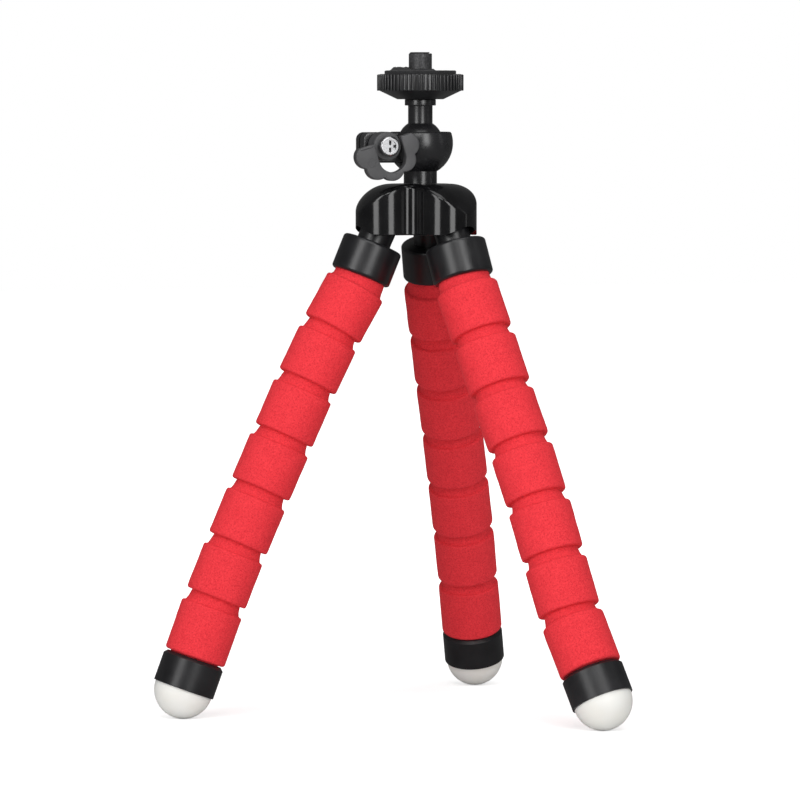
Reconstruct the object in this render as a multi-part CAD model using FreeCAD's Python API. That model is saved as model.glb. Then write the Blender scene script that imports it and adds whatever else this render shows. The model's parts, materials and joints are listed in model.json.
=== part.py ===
import FreeCAD, Part
import math
import os
from FreeCAD import Placement, Rotation, Vector

# Mini tripod with a ball head and three bendable foam legs, in millimetres, +Z up.
# The origin is the middle of the camera seat: the foot of the camera screw, on the head's axis.
# The clamp ears and leg a point along -X, and the clamp knob is on the -Y side.

# Camera screw, a standard 1/4 inch thread with 20 turns to the inch
screw_d = 6.35
thread_pitch = 1.27
thread_depth = 0.65
thread_crest = 0.22
screw_reach = 4.9
screw_tip_chamfer = 0.5
stud_shank_d = 4.0
stud_shank_depth = 11.0

# Seat pad and locking disc
pad_d = 19.8
pad_t = 1.0
pad_hole_d = 7.2
disc_d = 23.7
disc_rim_t = 4.6
disc_cone_t = 2.3
disc_cone_d = 12.6
disc_edge_chamfer = 0.35
rib_count = 60
rib_depth = 0.35
rib_top_share = 0.35
rib_foot_share = 0.25

# Ball and its stem
flange_d = 8.5
flange_t = 1.6
stem_d = 6.7
stem_len = 4.85
ball_d = 12.4

# Ball socket with clamp ears
socket_d = 17.9
socket_centre_drop = 0.2
socket_rim_rise = 2.9
socket_rim_round = 0.7
socket_neck_d = 9.1
socket_neck_drop = 11.2
ear_reach = 17.3
ear_rise = 2.8
ear_drop = 5.5
ear_t = 3.5
ear_corner_r = 2.0
ear_face_round = 0.5
clamp_slot = 1.0

# Clamp screw, nut, washer and knob
clamp_reach = 12.4
clamp_drop = 0.9
clamp_screw_d = 3.0
clamp_head_d = 5.5
clamp_head_t = 2.6
clamp_head_edge_r = 0.5
clamp_head_rim = 0.55
clamp_head_dish = 0.4
clamp_tail = 1.0
small_screw_chamfer = 0.3
cross_recess_w = 0.8
cross_recess_len = 3.2
cross_recess_depth = 1.2
nut_across_flats = 5.5
nut_t = 2.4
nut_sunk = 1.8
washer_d = 7.0
washer_t = 0.5
knob_rest_turn = 16.3
knob_r = 9.25
knob_lobe_r = 3.3
knob_lobe_count = 5
knob_lobe_step = 40.7
knob_flower_shift = (-0.75, -0.2)
knob_boss_d = 7.8
knob_boss_len = 5.9
knob_plate_t = 3.2
knob_plate_proud = 1.9
knob_wing_rise = 1.65
knob_gap_half = 3.8
knob_gap_depth = 7.2

# Hub with three round lobes, one over each leg
hub_h = 13.9
hub_reach = 18.1
hub_lobe_r = 8.2
hub_crotch_r = 3.2
hub_arch_half = 6.4
hub_arch_rise = 2.1
hub_dome_r = 10.2
hub_roof_edge = 0.25
hub_rim_round = 1.5
hub_foot_round = 0.3
hub_screw_d = 4.0
hub_screw_head_d = 7.2
hub_screw_head_t = 2.4
hub_screw_face_d = 5.2
hub_screw_face_edge = 0.95
hub_screw_grip = 3.6
hub_washer_d = 7.0
hub_washer_t = 0.6
hub_counterbore_depth = 4.4

# Leg cap: a ball-topped neck with two trunnions, and a collar over the foam
pivot_r = 10.2
pivot_rise = 5.4
neck_d = 9.6
neck_straight = 5.0
neck_waist_d = 9.4
neck_len = 8.4
trunnion_d = 2.4
trunnion_proud = 1.2
collar_d = 16.7
collar_len = 9.9
collar_edge_r = 0.9

# Foam sleeve of one leg, in turned segments with a narrow neck between them
foam_d = 17.1
foam_neck_d = 14.2
segment_len = 13.0
last_segment_len = 14.2
groove_w = 3.0
lip_top_r = 0.8
lip_bottom_r = 0.85
foam_tail_d = 13.6
foam_tail_len = 5.3
neck_flare_d = 6.4

# Core wire, end cap and foot
wire_d = 3.0
wire_in_collar = 3.6
end_cap_d = 17.0
end_cap_len = 8.8
end_cap_bevel = 0.9
end_cap_gap = 0.3
foot_d = 16.0
foot_spigot_d = 10.0
foot_spigot_len = 1.3
wire_stop = 1.8

# Clearances
seat_gap = 0.1
thread_clearance = 0.05
shaft_clearance = 0.05
trunnion_clearance = 0.08
ball_clearance = 0.15
neck_clearance = 0.6
foam_clearance = 0.25
wire_clearance = 0.2
recess_clearance = 0.3

# How far a cutting shape runs past the face it opens
overcut = 1.0

# How the legs stand: lean of the cap and of each foam segment from the vertical, in degrees.
# The foam leans of legs b and c are turned together by one small angle, until their feet meet
# the floor that leg a stands on.
cap_lean_stop = 30.0
leg_stance = {
    "a": {"azimuth": 180.0, "cap": 22.5, "foam": (29.5, 26.5, 24.5, 24.2, 23.7, 22.2, 20.3)},
    "b": {"azimuth": 300.0, "cap": 19.5, "foam": (25.5, 25.0, 26.0, 24.0, 22.0, 22.5, 28.0)},
    "c": {"azimuth": 60.0, "cap": 18.0, "foam": (26.5, 28.0, 27.5, 26.5, 25.0, 22.5, 20.0)},
}

X = Vector(1, 0, 0)
Z = Vector(0, 0, 1)
Y = Vector(0, 1, 0)
ORIGIN = Vector(0, 0, 0)

# Heights that follow from the stack of the head
disc_top = -pad_t - thread_clearance
disc_cone_top = disc_top - disc_rim_t
disc_bottom = disc_cone_top - disc_cone_t
flange_top = disc_bottom - seat_gap
flange_bottom = flange_top - flange_t
ball_z = flange_bottom - stem_len - math.sqrt(ball_d ** 2 - stem_d ** 2) / 2
clamp_z = ball_z - clamp_drop
hub_top = ball_z - socket_neck_drop - seat_gap
hub_bottom = hub_top - hub_h
pivot_z = hub_bottom + pivot_rise

# Planes across the clamp, counted outward along -Y from the middle of the slot
ear_face = clamp_slot / 2 + ear_t
washer_back = ear_face + seat_gap
boss_back = washer_back + washer_t + seat_gap
boss_front = boss_back + knob_boss_len
plate_front = boss_front + knob_plate_proud
plate_back = plate_front - knob_plate_t


def cylinder(diameter, height, base=ORIGIN, direction=Z):
    return Part.makeCylinder(diameter / 2, height, base, direction)


def arc(start, middle, end):
    return Part.Arc(Vector(*start), Vector(*middle), Vector(*end)).toShape()


def profile_edges(steps):
    """Edges of a turned outline in the XZ plane: each step is a point, or an arc's middle and end."""
    edges = []
    here = steps[0]
    for step in list(steps[1:]) + [steps[0]]:
        if isinstance(step[0], tuple):
            middle, end = step
            edges.append(arc((here[0], 0, here[1]), (middle[0], 0, middle[1]), (end[0], 0, end[1])))
        else:
            end = step
            edges.append(Part.makeLine(Vector(here[0], 0, here[1]), Vector(end[0], 0, end[1])))
        here = end
    return edges


def turned(steps):
    """Solid of revolution about Z of an outline given as profile steps."""
    face = Part.Face(Part.Wire(profile_edges(steps)))
    return face.revolve(ORIGIN, Z, 360)


def on_circle(radius, centre_z, angle):
    """Point of a circle about the axis at a height, with the angle counted up from the horizontal."""
    return (radius * math.cos(angle), centre_z + radius * math.sin(angle))


def circle_arc(radius, centre_z, start, end):
    """Profile step along a circle centred on the axis, between two points given by their heights or radii."""
    first = math.atan2(start[1] - centre_z, start[0])
    last = math.atan2(end[1] - centre_z, end[0])
    return (on_circle(radius, centre_z, (first + last) / 2), end)


def corner_arc(centre, radius, start_angle, end_angle):
    """Profile step round a corner, between two angles in degrees about the corner's own centre."""
    half = math.radians((start_angle + end_angle) / 2)
    last = math.radians(end_angle)
    middle = (centre[0] + radius * math.cos(half), centre[1] + radius * math.sin(half))
    return (middle, (centre[0] + radius * math.cos(last), centre[1] + radius * math.sin(last)))


def prism(points, height, base_z):
    """Upright prism over a plan outline."""
    corners = [Vector(x, y, base_z) for x, y in points]
    face = Part.Face(Part.makePolygon(corners + corners[:1]))
    return face.extrude(Vector(0, 0, height))


def hexagon(across_flats, height, base_z):
    radius = across_flats / 2 / math.cos(math.radians(30))
    corner_angles = [math.radians(60 * i) for i in range(6)]
    points = [(radius * math.cos(angle), radius * math.sin(angle)) for angle in corner_angles]
    return prism(points, height, base_z)


def across_clamp(shape):
    """Lay a shape built along +Z onto the clamp's axis, so that +Z points out of the knob along -Y."""
    lie = Placement(Vector(-clamp_reach, 0, clamp_z), Rotation(Vector(1, 0, 0), 90))
    moved = shape.copy()
    moved.Placement = lie.multiply(moved.Placement)
    return moved


def knurled(diameter, height, base_z):
    """Round plate with straight ribs on its edge."""
    outer = diameter / 2
    root = outer - rib_depth
    step = 2 * math.pi / rib_count
    rise = (1 - rib_top_share - rib_foot_share) / 2
    one_rib = ((root, 0), (root, rib_foot_share), (outer, rib_foot_share + rise), (outer, 1 - rise))
    points = []
    for i in range(rib_count):
        for radius, at in one_rib:
            angle = (i + at) * step
            points.append((radius * math.cos(angle), radius * math.sin(angle)))
    return prism(points, height, base_z)


# Camera screw and stem

def thread_groove(radius, start, length):
    """Helical V groove, a little taller than the rod it is cut from."""
    root = radius - thread_depth
    past_share = thread_crest / (thread_pitch - thread_crest) / 2
    past = thread_depth * past_share
    half_mouth = (thread_pitch - thread_crest) / 2 * (1 + past_share)
    helix = Part.makeLongHelix(thread_pitch, length, root)
    helix.translate(Vector(0, 0, start))
    groove = Part.makePolygon([
        Vector(root, 0, start),
        Vector(radius + past, 0, start + half_mouth),
        Vector(radius + past, 0, start - half_mouth),
        Vector(root, 0, start),
    ])
    return Part.Wire(helix).makePipeShell([groove], True, True)


def make_camera_stud():
    """Threaded rod with chamfered ends, on a plain shank that turns in the stem's bore."""
    radius = screw_d / 2
    low = flange_top + seat_gap / 2
    chamfer = screw_tip_chamfer
    rod = cylinder(screw_d, screw_reach - low, Vector(0, 0, low))
    rod = rod.cut(thread_groove(radius, low - thread_pitch, screw_reach - low + 2 * thread_pitch))
    ends = turned([
        (0, low),
        (radius - chamfer, low),
        (radius + chamfer, low + 2 * chamfer),
        (radius + chamfer, screw_reach - 2 * chamfer),
        (radius - chamfer, screw_reach),
        (0, screw_reach),
    ])
    shank_low = flange_top - stud_shank_depth
    return rod.common(ends).fuse(cylinder(stud_shank_d, low - shank_low, Vector(0, 0, shank_low)))


def make_head_ball():
    ball_r = ball_d / 2
    stem_r = stem_d / 2
    flange_r = flange_d / 2
    join = (stem_r, ball_z + math.sqrt(ball_r ** 2 - stem_r ** 2))
    bore_r = stud_shank_d / 2 + shaft_clearance
    bore_end = flange_top - stud_shank_depth - recess_clearance
    bottom = (0, ball_z - ball_r)
    body = turned([
        bottom,
        circle_arc(ball_r, ball_z, bottom, join),
        (stem_r, flange_bottom),
        (flange_r, flange_bottom),
        (flange_r, flange_top),
        (0, flange_top),
    ])
    return body.cut(cylinder(2 * bore_r, flange_top - bore_end + overcut, Vector(0, 0, bore_end)))


def make_seat_pad():
    ring = cylinder(pad_d, pad_t, Vector(0, 0, -pad_t))
    return ring.cut(cylinder(pad_hole_d, pad_t * 3, Vector(0, 0, -pad_t * 2)))


def make_locking_disc():
    rim = knurled(disc_d, disc_rim_t, disc_cone_top)
    cone = Part.makeCone(disc_cone_d / 2, disc_d / 2 - rib_depth, disc_cone_t, Vector(0, 0, disc_bottom))
    rim_r = disc_d / 2
    chamfered = turned([
        (0, disc_cone_top),
        (rim_r, disc_cone_top),
        (rim_r, disc_top - disc_edge_chamfer),
        (rim_r - disc_edge_chamfer, disc_top),
        (0, disc_top),
    ])
    body = rim.common(chamfered).fuse(cone)
    bore_len = disc_top - disc_bottom + 2 * overcut
    bore = cylinder(screw_d + 2 * thread_clearance, bore_len, Vector(0, 0, disc_bottom - overcut))
    return body.cut(bore).removeSplitter()


# Ball socket

def rounded_ear(y_from, y_to):
    """Flat ear beside the slot, with its two outer corners rounded."""
    low = ball_z - ear_drop
    high = ball_z + ear_rise
    plate = Part.makeBox(ear_reach, y_to - y_from, high - low, Vector(-ear_reach, y_from, low))
    across_end = [
        edge for edge in plate.Edges
        if edge.BoundBox.XMax < -ear_reach / 2 and edge.BoundBox.YLength > (y_to - y_from) / 2
    ]
    return plate.makeFillet(ear_corner_r, across_end)


def make_ball_socket():
    outer_r = socket_d / 2
    cup_z = ball_z - socket_centre_drop
    rim_z = ball_z + socket_rim_rise
    foot_z = hub_top + seat_gap
    neck_r = socket_neck_d / 2
    rim = (math.sqrt(outer_r ** 2 - (rim_z - cup_z) ** 2), rim_z)
    join = (neck_r, cup_z - math.sqrt(outer_r ** 2 - neck_r ** 2))
    body = turned([
        (0, foot_z),
        (neck_r, foot_z),
        join,
        circle_arc(outer_r, cup_z, join, rim),
        (0, rim_z),
    ])
    rim_edges = [edge for edge in body.Edges if edge.BoundBox.ZMin > rim_z - ball_clearance]
    body = body.makeFillet(socket_rim_round, rim_edges)
    for y_from, y_to in ((clamp_slot / 2, ear_face), (-ear_face, -clamp_slot / 2)):
        ear = rounded_ear(y_from, y_to)
        boxes = [edge.BoundBox for edge in ear.Edges]
        nearest = [min(abs(box.YMin), abs(box.YMax)) for box in boxes]
        outer_edges = [edge for edge, y in zip(ear.Edges, nearest) if y > ear_face - ear_face_round]
        body = body.fuse(ear.makeFillet(ear_face_round, outer_edges))
    hollow = Part.makeSphere(ball_d / 2 + ball_clearance, Vector(0, 0, ball_z))
    slot_low = ball_z - ear_drop - overcut
    slot_high = rim_z + overcut
    slot_start = Vector(-2 * ear_reach, -clamp_slot / 2, slot_low)
    slot = Part.makeBox(2 * ear_reach, clamp_slot, slot_high - slot_low, slot_start)
    hub_hole_d = hub_screw_d + 2 * shaft_clearance
    hub_hole = cylinder(hub_hole_d, hub_screw_grip + recess_clearance, Vector(0, 0, foot_z))
    clamp_hole_d = clamp_screw_d + 2 * shaft_clearance
    clamp_hole = across_clamp(cylinder(clamp_hole_d, 4 * ear_face, Vector(0, 0, -2 * ear_face)))
    pocket_floor = -(ear_face - nut_sunk)
    pocket_w = nut_across_flats + 2 * seat_gap
    nut_pocket = across_clamp(hexagon(pocket_w, 4 * nut_sunk, pocket_floor - 4 * nut_sunk))
    for cutter in (hollow, slot, hub_hole, clamp_hole, nut_pocket):
        body = body.cut(cutter)
    return body.removeSplitter()


# Clamp screw, nut, washer and knob, built along +Z and then laid on the clamp's axis

def make_clamp_nut():
    back = -(ear_face - nut_sunk) - seat_gap - nut_t
    body = hexagon(nut_across_flats, nut_t, back)
    body = body.cut(cylinder(clamp_screw_d + 2 * shaft_clearance, 3 * nut_t, Vector(0, 0, back - nut_t)))
    return across_clamp(body)


def make_clamp_washer():
    ring = cylinder(washer_d, washer_t, Vector(0, 0, washer_back))
    hole = cylinder(clamp_screw_d + 2 * seat_gap, 3 * washer_t, Vector(0, 0, washer_back - washer_t))
    return across_clamp(ring.cut(hole))


def cross_recess(low):
    """Two crossed slots, cut upward from a height."""
    slots = []
    for length, width in ((cross_recess_len, cross_recess_w), (cross_recess_w, cross_recess_len)):
        corner = Vector(-length / 2, -width / 2, low)
        slots.append(Part.makeBox(length, width, 2 * cross_recess_depth, corner))
    return slots[0].fuse(slots[1])


def make_clamp_screw():
    """Screw with a barrel head: a round raised rim about a shallow dish with a cross recess."""
    tail = -(ear_face - nut_sunk + nut_t + clamp_tail)
    head_base = boss_front + seat_gap / 2
    head_top = head_base + clamp_head_t
    head_r = clamp_head_d / 2
    thread_r = clamp_screw_d / 2
    edge = clamp_head_edge_r
    dish_r = head_r - edge - clamp_head_rim
    body = turned([
        (0, tail),
        (thread_r - small_screw_chamfer, tail),
        (thread_r, tail + small_screw_chamfer),
        (thread_r, head_base),
        (head_r, head_base),
        (head_r, head_top - edge),
        corner_arc((head_r - edge, head_top - edge), edge, 0, 90),
        (dish_r, head_top),
        (dish_r, head_top - clamp_head_dish),
        (0, head_top - clamp_head_dish),
    ])
    return across_clamp(body.cut(cross_recess(head_top - clamp_head_dish - cross_recess_depth)))


def knob_plate():
    """Half flower of round lobes, a little to one side of the axis, with a gap open towards +Y."""
    lobe_ring = knob_r - knob_lobe_r
    middle = Vector(knob_flower_shift[0], knob_flower_shift[1], plate_back)
    plate = cylinder(2 * lobe_ring, knob_plate_t, middle)
    first = -90 - knob_lobe_step * (knob_lobe_count - 1) / 2
    for i in range(knob_lobe_count):
        angle = math.radians(first + i * knob_lobe_step)
        centre = middle + Vector(lobe_ring * math.cos(angle), lobe_ring * math.sin(angle), 0)
        plate = plate.fuse(cylinder(2 * knob_lobe_r, knob_plate_t, centre))
    cut_z = plate_back - overcut
    cut_t = knob_plate_t + 2 * overcut
    top = Part.makeBox(4 * knob_r, 2 * knob_r, cut_t, Vector(-2 * knob_r, knob_wing_rise, cut_z))
    gap_round = knob_gap_depth - knob_gap_half
    gap = cylinder(2 * knob_gap_half, cut_t, Vector(0, -gap_round, cut_z))
    gap_sides = Vector(-knob_gap_half, -gap_round, cut_z)
    gap = gap.fuse(Part.makeBox(2 * knob_gap_half, gap_round + 2 * knob_r, cut_t, gap_sides))
    return plate.cut(top).cut(gap)


def make_clamp_knob():
    boss = cylinder(knob_boss_d, knob_boss_len, Vector(0, 0, boss_back))
    body = knob_plate().fuse(boss)
    hole_len = plate_front - boss_back + 2 * overcut
    body = body.cut(cylinder(clamp_screw_d + 2 * seat_gap, hole_len, Vector(0, 0, boss_back - overcut)))
    body.rotate(ORIGIN, Z, knob_rest_turn)
    return across_clamp(body.removeSplitter())


# Hub

def hub_plan_edges():
    """Plan outline: three round lobes, with a small round crotch between each pair."""
    lobe_at = hub_reach - hub_lobe_r
    crotch_reach = hub_lobe_r + hub_crotch_r
    apart = lobe_at * math.sin(math.radians(60))
    crotch_at = lobe_at * math.cos(math.radians(60)) + math.sqrt(crotch_reach ** 2 - apart ** 2)
    edges = []
    for arm in range(3):
        turn = Rotation(Z, 120 * arm + leg_stance["c"]["azimuth"])
        lobe = turn.multVec(Vector(lobe_at, 0, 0))
        tip = turn.multVec(Vector(hub_reach, 0, 0))
        left = Rotation(Z, 60).multVec(turn.multVec(Vector(crotch_at, 0, 0)))
        right = Rotation(Z, -60).multVec(turn.multVec(Vector(crotch_at, 0, 0)))
        start = lobe + (right - lobe) * (hub_lobe_r / crotch_reach)
        end = lobe + (left - lobe) * (hub_lobe_r / crotch_reach)
        next_start = Rotation(Z, 120).multVec(start)
        between = left * ((crotch_at - hub_crotch_r) / crotch_at)
        edges.append(Part.Arc(start, tip, end).toShape())
        edges.append(Part.Arc(end, between, next_start).toShape())
    return edges


def hub_arch(azimuth):
    """Low arch across the outer half of one lobe's underside, over the leg's collar."""
    arch_r = (hub_arch_half ** 2 + hub_arch_rise ** 2) / (2 * hub_arch_rise)
    centre = Vector(pivot_r, 0, hub_bottom + hub_arch_rise - arch_r)
    arch = cylinder(2 * arch_r, hub_reach, centre, X)
    arch.rotate(ORIGIN, Z, azimuth)
    return arch


def neck_pocket(azimuth):
    """Room for one leg's neck to swing from hanging straight to its widest lean, with trunnion holes."""
    room = neck_d / 2 + neck_clearance
    lean = math.radians(cap_lean_stop)
    reach = (pivot_rise + overcut + room * math.sin(lean)) / math.cos(lean)
    pivot = Vector(pivot_r, 0, pivot_z)
    down = Vector(0, 0, -1)
    outward = Vector(math.sin(lean), 0, -math.cos(lean))
    side = Vector(0, -room, 0)
    corners = [pivot + side, pivot + side + down * reach, pivot + side + outward * reach]
    pocket = Part.Face(Part.makePolygon(corners + corners[:1])).extrude(-2 * side)
    for direction in (down, outward):
        pocket = pocket.fuse(cylinder(2 * room, reach, pivot, direction))
    pocket = pocket.fuse(Part.makeSphere(room, pivot))
    hole_half = neck_d / 2 + trunnion_proud + seat_gap
    hole_d = trunnion_d + 2 * trunnion_clearance
    pocket = pocket.fuse(cylinder(hole_d, 2 * hole_half, pivot - Y * hole_half, Y))
    pocket.rotate(ORIGIN, Z, azimuth)
    return pocket


def make_hub_cover():
    plan = Part.Face(Part.Wire(hub_plan_edges()))
    plan.translate(Vector(0, 0, hub_bottom))
    block = plan.extrude(Vector(0, 0, hub_h))
    dome_outer = hub_reach + hub_roof_edge
    dome_corner = dome_outer - hub_dome_r
    dome = turned([
        (0, hub_bottom),
        (dome_outer, hub_bottom),
        (dome_outer, hub_top - hub_dome_r),
        corner_arc((dome_corner, hub_top - hub_dome_r), hub_dome_r, 0, 90),
        (0, hub_top),
    ])
    body = block.common(dome)
    rim_edges = [edge for edge in body.Edges if edge.BoundBox.ZMin > hub_bottom + hub_foot_round]
    body = body.makeFillet(hub_rim_round, rim_edges)
    foot_edges = [edge for edge in body.Edges if edge.BoundBox.ZMax < hub_bottom + hub_foot_round]
    body = body.makeFillet(hub_foot_round, foot_edges)
    for stance in leg_stance.values():
        body = body.cut(neck_pocket(stance["azimuth"]))
        body = body.cut(hub_arch(stance["azimuth"]))
    body = body.cut(cylinder(hub_screw_d + 2 * seat_gap, 3 * hub_h, Vector(0, 0, hub_bottom - hub_h)))
    counterbore_d = hub_screw_head_d + 2 * recess_clearance
    counterbore_len = hub_counterbore_depth + overcut
    body = body.cut(cylinder(counterbore_d, counterbore_len, Vector(0, 0, hub_bottom - overcut)))
    return body.removeSplitter()


def make_hub_washer():
    top = hub_bottom + hub_counterbore_depth
    ring = cylinder(hub_washer_d, hub_washer_t, Vector(0, 0, top - hub_washer_t))
    hole = cylinder(hub_screw_d + 2 * seat_gap, 3 * hub_washer_t, Vector(0, 0, top - 2 * hub_washer_t))
    return ring.cut(hole)


def make_hub_screw():
    head_top = hub_bottom + hub_counterbore_depth - hub_washer_t
    head_bottom = head_top - hub_screw_head_t
    tip = hub_top + seat_gap + hub_screw_grip
    thread_r = hub_screw_d / 2
    body = turned([
        (0, head_bottom),
        (hub_screw_face_d / 2, head_bottom),
        (hub_screw_head_d / 2, head_bottom + hub_screw_face_edge),
        (hub_screw_head_d / 2, head_top),
        (thread_r, head_top),
        (thread_r, tip - small_screw_chamfer),
        (thread_r - small_screw_chamfer, tip),
        (0, tip),
    ])
    return body.cut(cross_recess(head_bottom - cross_recess_depth))


# Legs. Each piece is turned about its own axis, with the joint above it at the origin.

pitch = segment_len + groove_w
neck_r = foam_neck_d / 2
cup_r = neck_r + foam_clearance
bore_r = wire_d / 2 + wire_clearance
half_groove = groove_w / 2


def cup_rim(radius, drop):
    """Radius at which a cup of this radius, centred a drop below a face, opens in that face."""
    return math.sqrt(radius ** 2 - drop ** 2)


def make_leg_cap():
    ball_r = neck_d / 2
    collar_r = collar_d / 2
    collar_top = -neck_len
    collar_bottom = collar_top - collar_len
    hinge_z = collar_bottom - half_groove
    edge = collar_edge_r
    wire_top = hinge_z + cup_r + wire_in_collar
    rim = (cup_rim(cup_r, half_groove), collar_bottom)
    apex = (bore_r, hinge_z + math.sqrt(cup_r ** 2 - bore_r ** 2))
    waist_z = (collar_top - neck_straight) / 2
    crown = (0, ball_r)
    body = turned([
        (0, wire_top),
        (bore_r, wire_top),
        apex,
        circle_arc(cup_r, hinge_z, apex, rim),
        (collar_r - edge, collar_bottom),
        corner_arc((collar_r - edge, collar_bottom + edge), edge, -90, 0),
        (collar_r, collar_top - edge),
        corner_arc((collar_r - edge, collar_top - edge), edge, 0, 90),
        (neck_waist_d / 2, collar_top),
        (neck_waist_d / 2, waist_z),
        (ball_r, -neck_straight),
        (ball_r, 0),
        circle_arc(ball_r, 0, (ball_r, 0), crown),
    ])
    half = neck_d / 2 + trunnion_proud
    return body.fuse(cylinder(trunnion_d, 2 * half, Vector(0, -half, 0), Y)).removeSplitter()


def segment_top(lip):
    """Profile of a segment's outside from its straight side up over the lip and neck, and in to the wire."""
    foam_r = foam_d / 2
    lip_centre = (foam_r - lip, -half_groove - lip)
    shoulder = (cup_rim(neck_r, half_groove), -half_groove)
    flare = (neck_flare_d / 2, cup_rim(neck_r, neck_flare_d / 2))
    return [
        (foam_r, -half_groove - lip),
        corner_arc(lip_centre, lip, 0, 90),
        shoulder,
        circle_arc(neck_r, 0, shoulder, flare),
        (bore_r, 0),
    ]


def make_foam_segment():
    foam_r = foam_d / 2
    bottom = -half_groove - segment_len
    next_hinge = -pitch
    rim = (cup_rim(cup_r, half_groove), bottom)
    apex = (bore_r, next_hinge + math.sqrt(cup_r ** 2 - bore_r ** 2))
    low = lip_bottom_r
    steps = [
        apex,
        circle_arc(cup_r, next_hinge, apex, rim),
        (foam_r - low, bottom),
        corner_arc((foam_r - low, bottom + low), low, -90, 0),
    ]
    return turned(steps + segment_top(lip_top_r))


def make_last_segment():
    foam_r = foam_d / 2
    bottom = -half_groove - last_segment_len
    tail_end = bottom - foam_tail_len
    low = lip_bottom_r
    steps = [
        (bore_r, tail_end),
        (foam_tail_d / 2, tail_end),
        (foam_tail_d / 2, bottom),
        (foam_r - low, bottom),
        corner_arc((foam_r - low, bottom + low), low, -90, 0),
    ]
    return turned(steps + segment_top(lip_top_r))


end_cap_top = -half_groove - last_segment_len - end_cap_gap
end_cap_bottom = end_cap_top - end_cap_len
spigot_top = end_cap_bottom + foot_spigot_len


def make_end_cap():
    cap_r = end_cap_d / 2
    mouth_r = foam_tail_d / 2 + wire_clearance
    floor = -half_groove - last_segment_len - foam_tail_len - recess_clearance
    recess_r = foot_spigot_d / 2 + seat_gap
    recess_top = spigot_top + seat_gap
    return turned([
        (bore_r, floor),
        (mouth_r, floor),
        (mouth_r, end_cap_top),
        (cap_r - end_cap_bevel, end_cap_top),
        (cap_r, end_cap_top - end_cap_bevel),
        (cap_r, end_cap_bottom),
        (recess_r, end_cap_bottom),
        (recess_r, recess_top),
        (bore_r, recess_top),
    ])


def make_foot():
    foot_r = foot_d / 2
    dome_z = end_cap_bottom - shaft_clearance
    tip = (0, dome_z - foot_r)
    return turned([
        tip,
        circle_arc(foot_r, dome_z, tip, (foot_r, dome_z)),
        (foot_spigot_d / 2, dome_z),
        (foot_spigot_d / 2, spigot_top),
        (0, spigot_top),
    ])


def leg_joints(cap_lean, leans):
    """The pivot, then each groove's joint, as (radius, height) in the leg's upright plane."""
    spots = [(pivot_r, pivot_z)]
    length = neck_len + collar_len + half_groove
    for lean in [cap_lean] + list(leans)[:-1]:
        radius, height = spots[-1]
        angle = math.radians(lean)
        spots.append((radius + length * math.sin(angle), height - length * math.cos(angle)))
        length = pitch
    return spots


def floor_height(cap_lean, leans):
    """Height of the foot's lowest point, the dome's centre less its radius."""
    radius, height = leg_joints(cap_lean, leans)[-1]
    dome = end_cap_bottom - shaft_clearance
    return height + dome * math.cos(math.radians(leans[-1])) - foot_d / 2


def trimmed_leans(stance, floor):
    """The stance's leans, all turned by one small angle that brings the foot to the floor."""
    low, high = -20.0, 20.0
    for _ in range(50):
        middle = (low + high) / 2
        leans = [lean + middle for lean in stance["foam"]]
        if floor_height(stance["cap"], leans) < floor:
            low = middle
        else:
            high = middle
    return leans


def in_leg(shape, azimuth, spot, lean):
    """Put a piece built about its own axis at a joint of a leg, leaning outward."""
    turn = Rotation(Z, azimuth)
    place = Placement(turn.multVec(Vector(spot[0], 0, spot[1])), turn.multiply(Rotation(Y, -lean)))
    moved = shape.copy()
    moved.Placement = place
    return moved


def make_wire(azimuth, spots, leans, cap_lean):
    """One wire down the middle of a leg, straight within each piece and mitred at each joint."""
    top = in_leg(Part.Vertex(0, 0, cup_r + wire_in_collar - seat_gap), azimuth, spots[1], cap_lean).Point
    end = in_leg(Part.Vertex(0, 0, end_cap_bottom + wire_stop), azimuth, spots[-1], leans[-1]).Point
    turn = Rotation(Z, azimuth)
    knees = [turn.multVec(Vector(radius, 0, height)) for radius, height in spots[1:]]
    points = [top] + knees + [end]
    along = [(after - before).normalize() for before, after in zip(points, points[1:])]
    facings = [along[0]] + [before + after for before, after in zip(along, along[1:])] + [along[-1]]
    rings = [Part.Wire(Part.makeCircle(wire_d / 2, spot, facing)) for spot, facing in zip(points, facings)]
    return Part.makeLoft(rings, True, True)


def write(name, shape):
    shape.exportStep(f"parts/{name}.step")


def build_head():
    write("camera_stud", make_camera_stud())
    write("head_ball", make_head_ball())
    write("seat_pad", make_seat_pad())
    write("locking_disc", make_locking_disc())
    write("ball_socket", make_ball_socket())
    write("clamp_nut", make_clamp_nut())
    write("clamp_washer", make_clamp_washer())
    write("clamp_screw", make_clamp_screw())
    write("clamp_knob", make_clamp_knob())


def build_hub():
    write("hub_cover", make_hub_cover())
    write("hub_washer", make_hub_washer())
    write("hub_screw", make_hub_screw())


def build_leg(name, stance, leans):
    azimuth = stance["azimuth"]
    spots = leg_joints(stance["cap"], leans)
    write(f"leg_{name}_cap", in_leg(make_leg_cap(), azimuth, spots[0], stance["cap"]))
    write(f"leg_{name}_wire", make_wire(azimuth, spots, leans, stance["cap"]))
    for index, lean in enumerate(leans):
        last = index == len(leans) - 1
        segment = make_last_segment() if last else make_foam_segment()
        write(f"leg_{name}_foam_{index + 1}", in_leg(segment, azimuth, spots[index + 1], lean))
    write(f"leg_{name}_end_cap", in_leg(make_end_cap(), azimuth, spots[-1], leans[-1]))
    write(f"leg_{name}_foot", in_leg(make_foot(), azimuth, spots[-1], leans[-1]))


os.makedirs("parts", exist_ok=True)
floor = floor_height(leg_stance["a"]["cap"], leg_stance["a"]["foam"])
standing_leans = {name: trimmed_leans(stance, floor) for name, stance in leg_stance.items()}
build_head()
build_hub()
for name, stance in leg_stance.items():
    build_leg(name, stance, standing_leans[name])
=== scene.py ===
"""Looks of a mini tripod: a ball head, a three-lobed hub and three bendable foam legs."""

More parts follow.
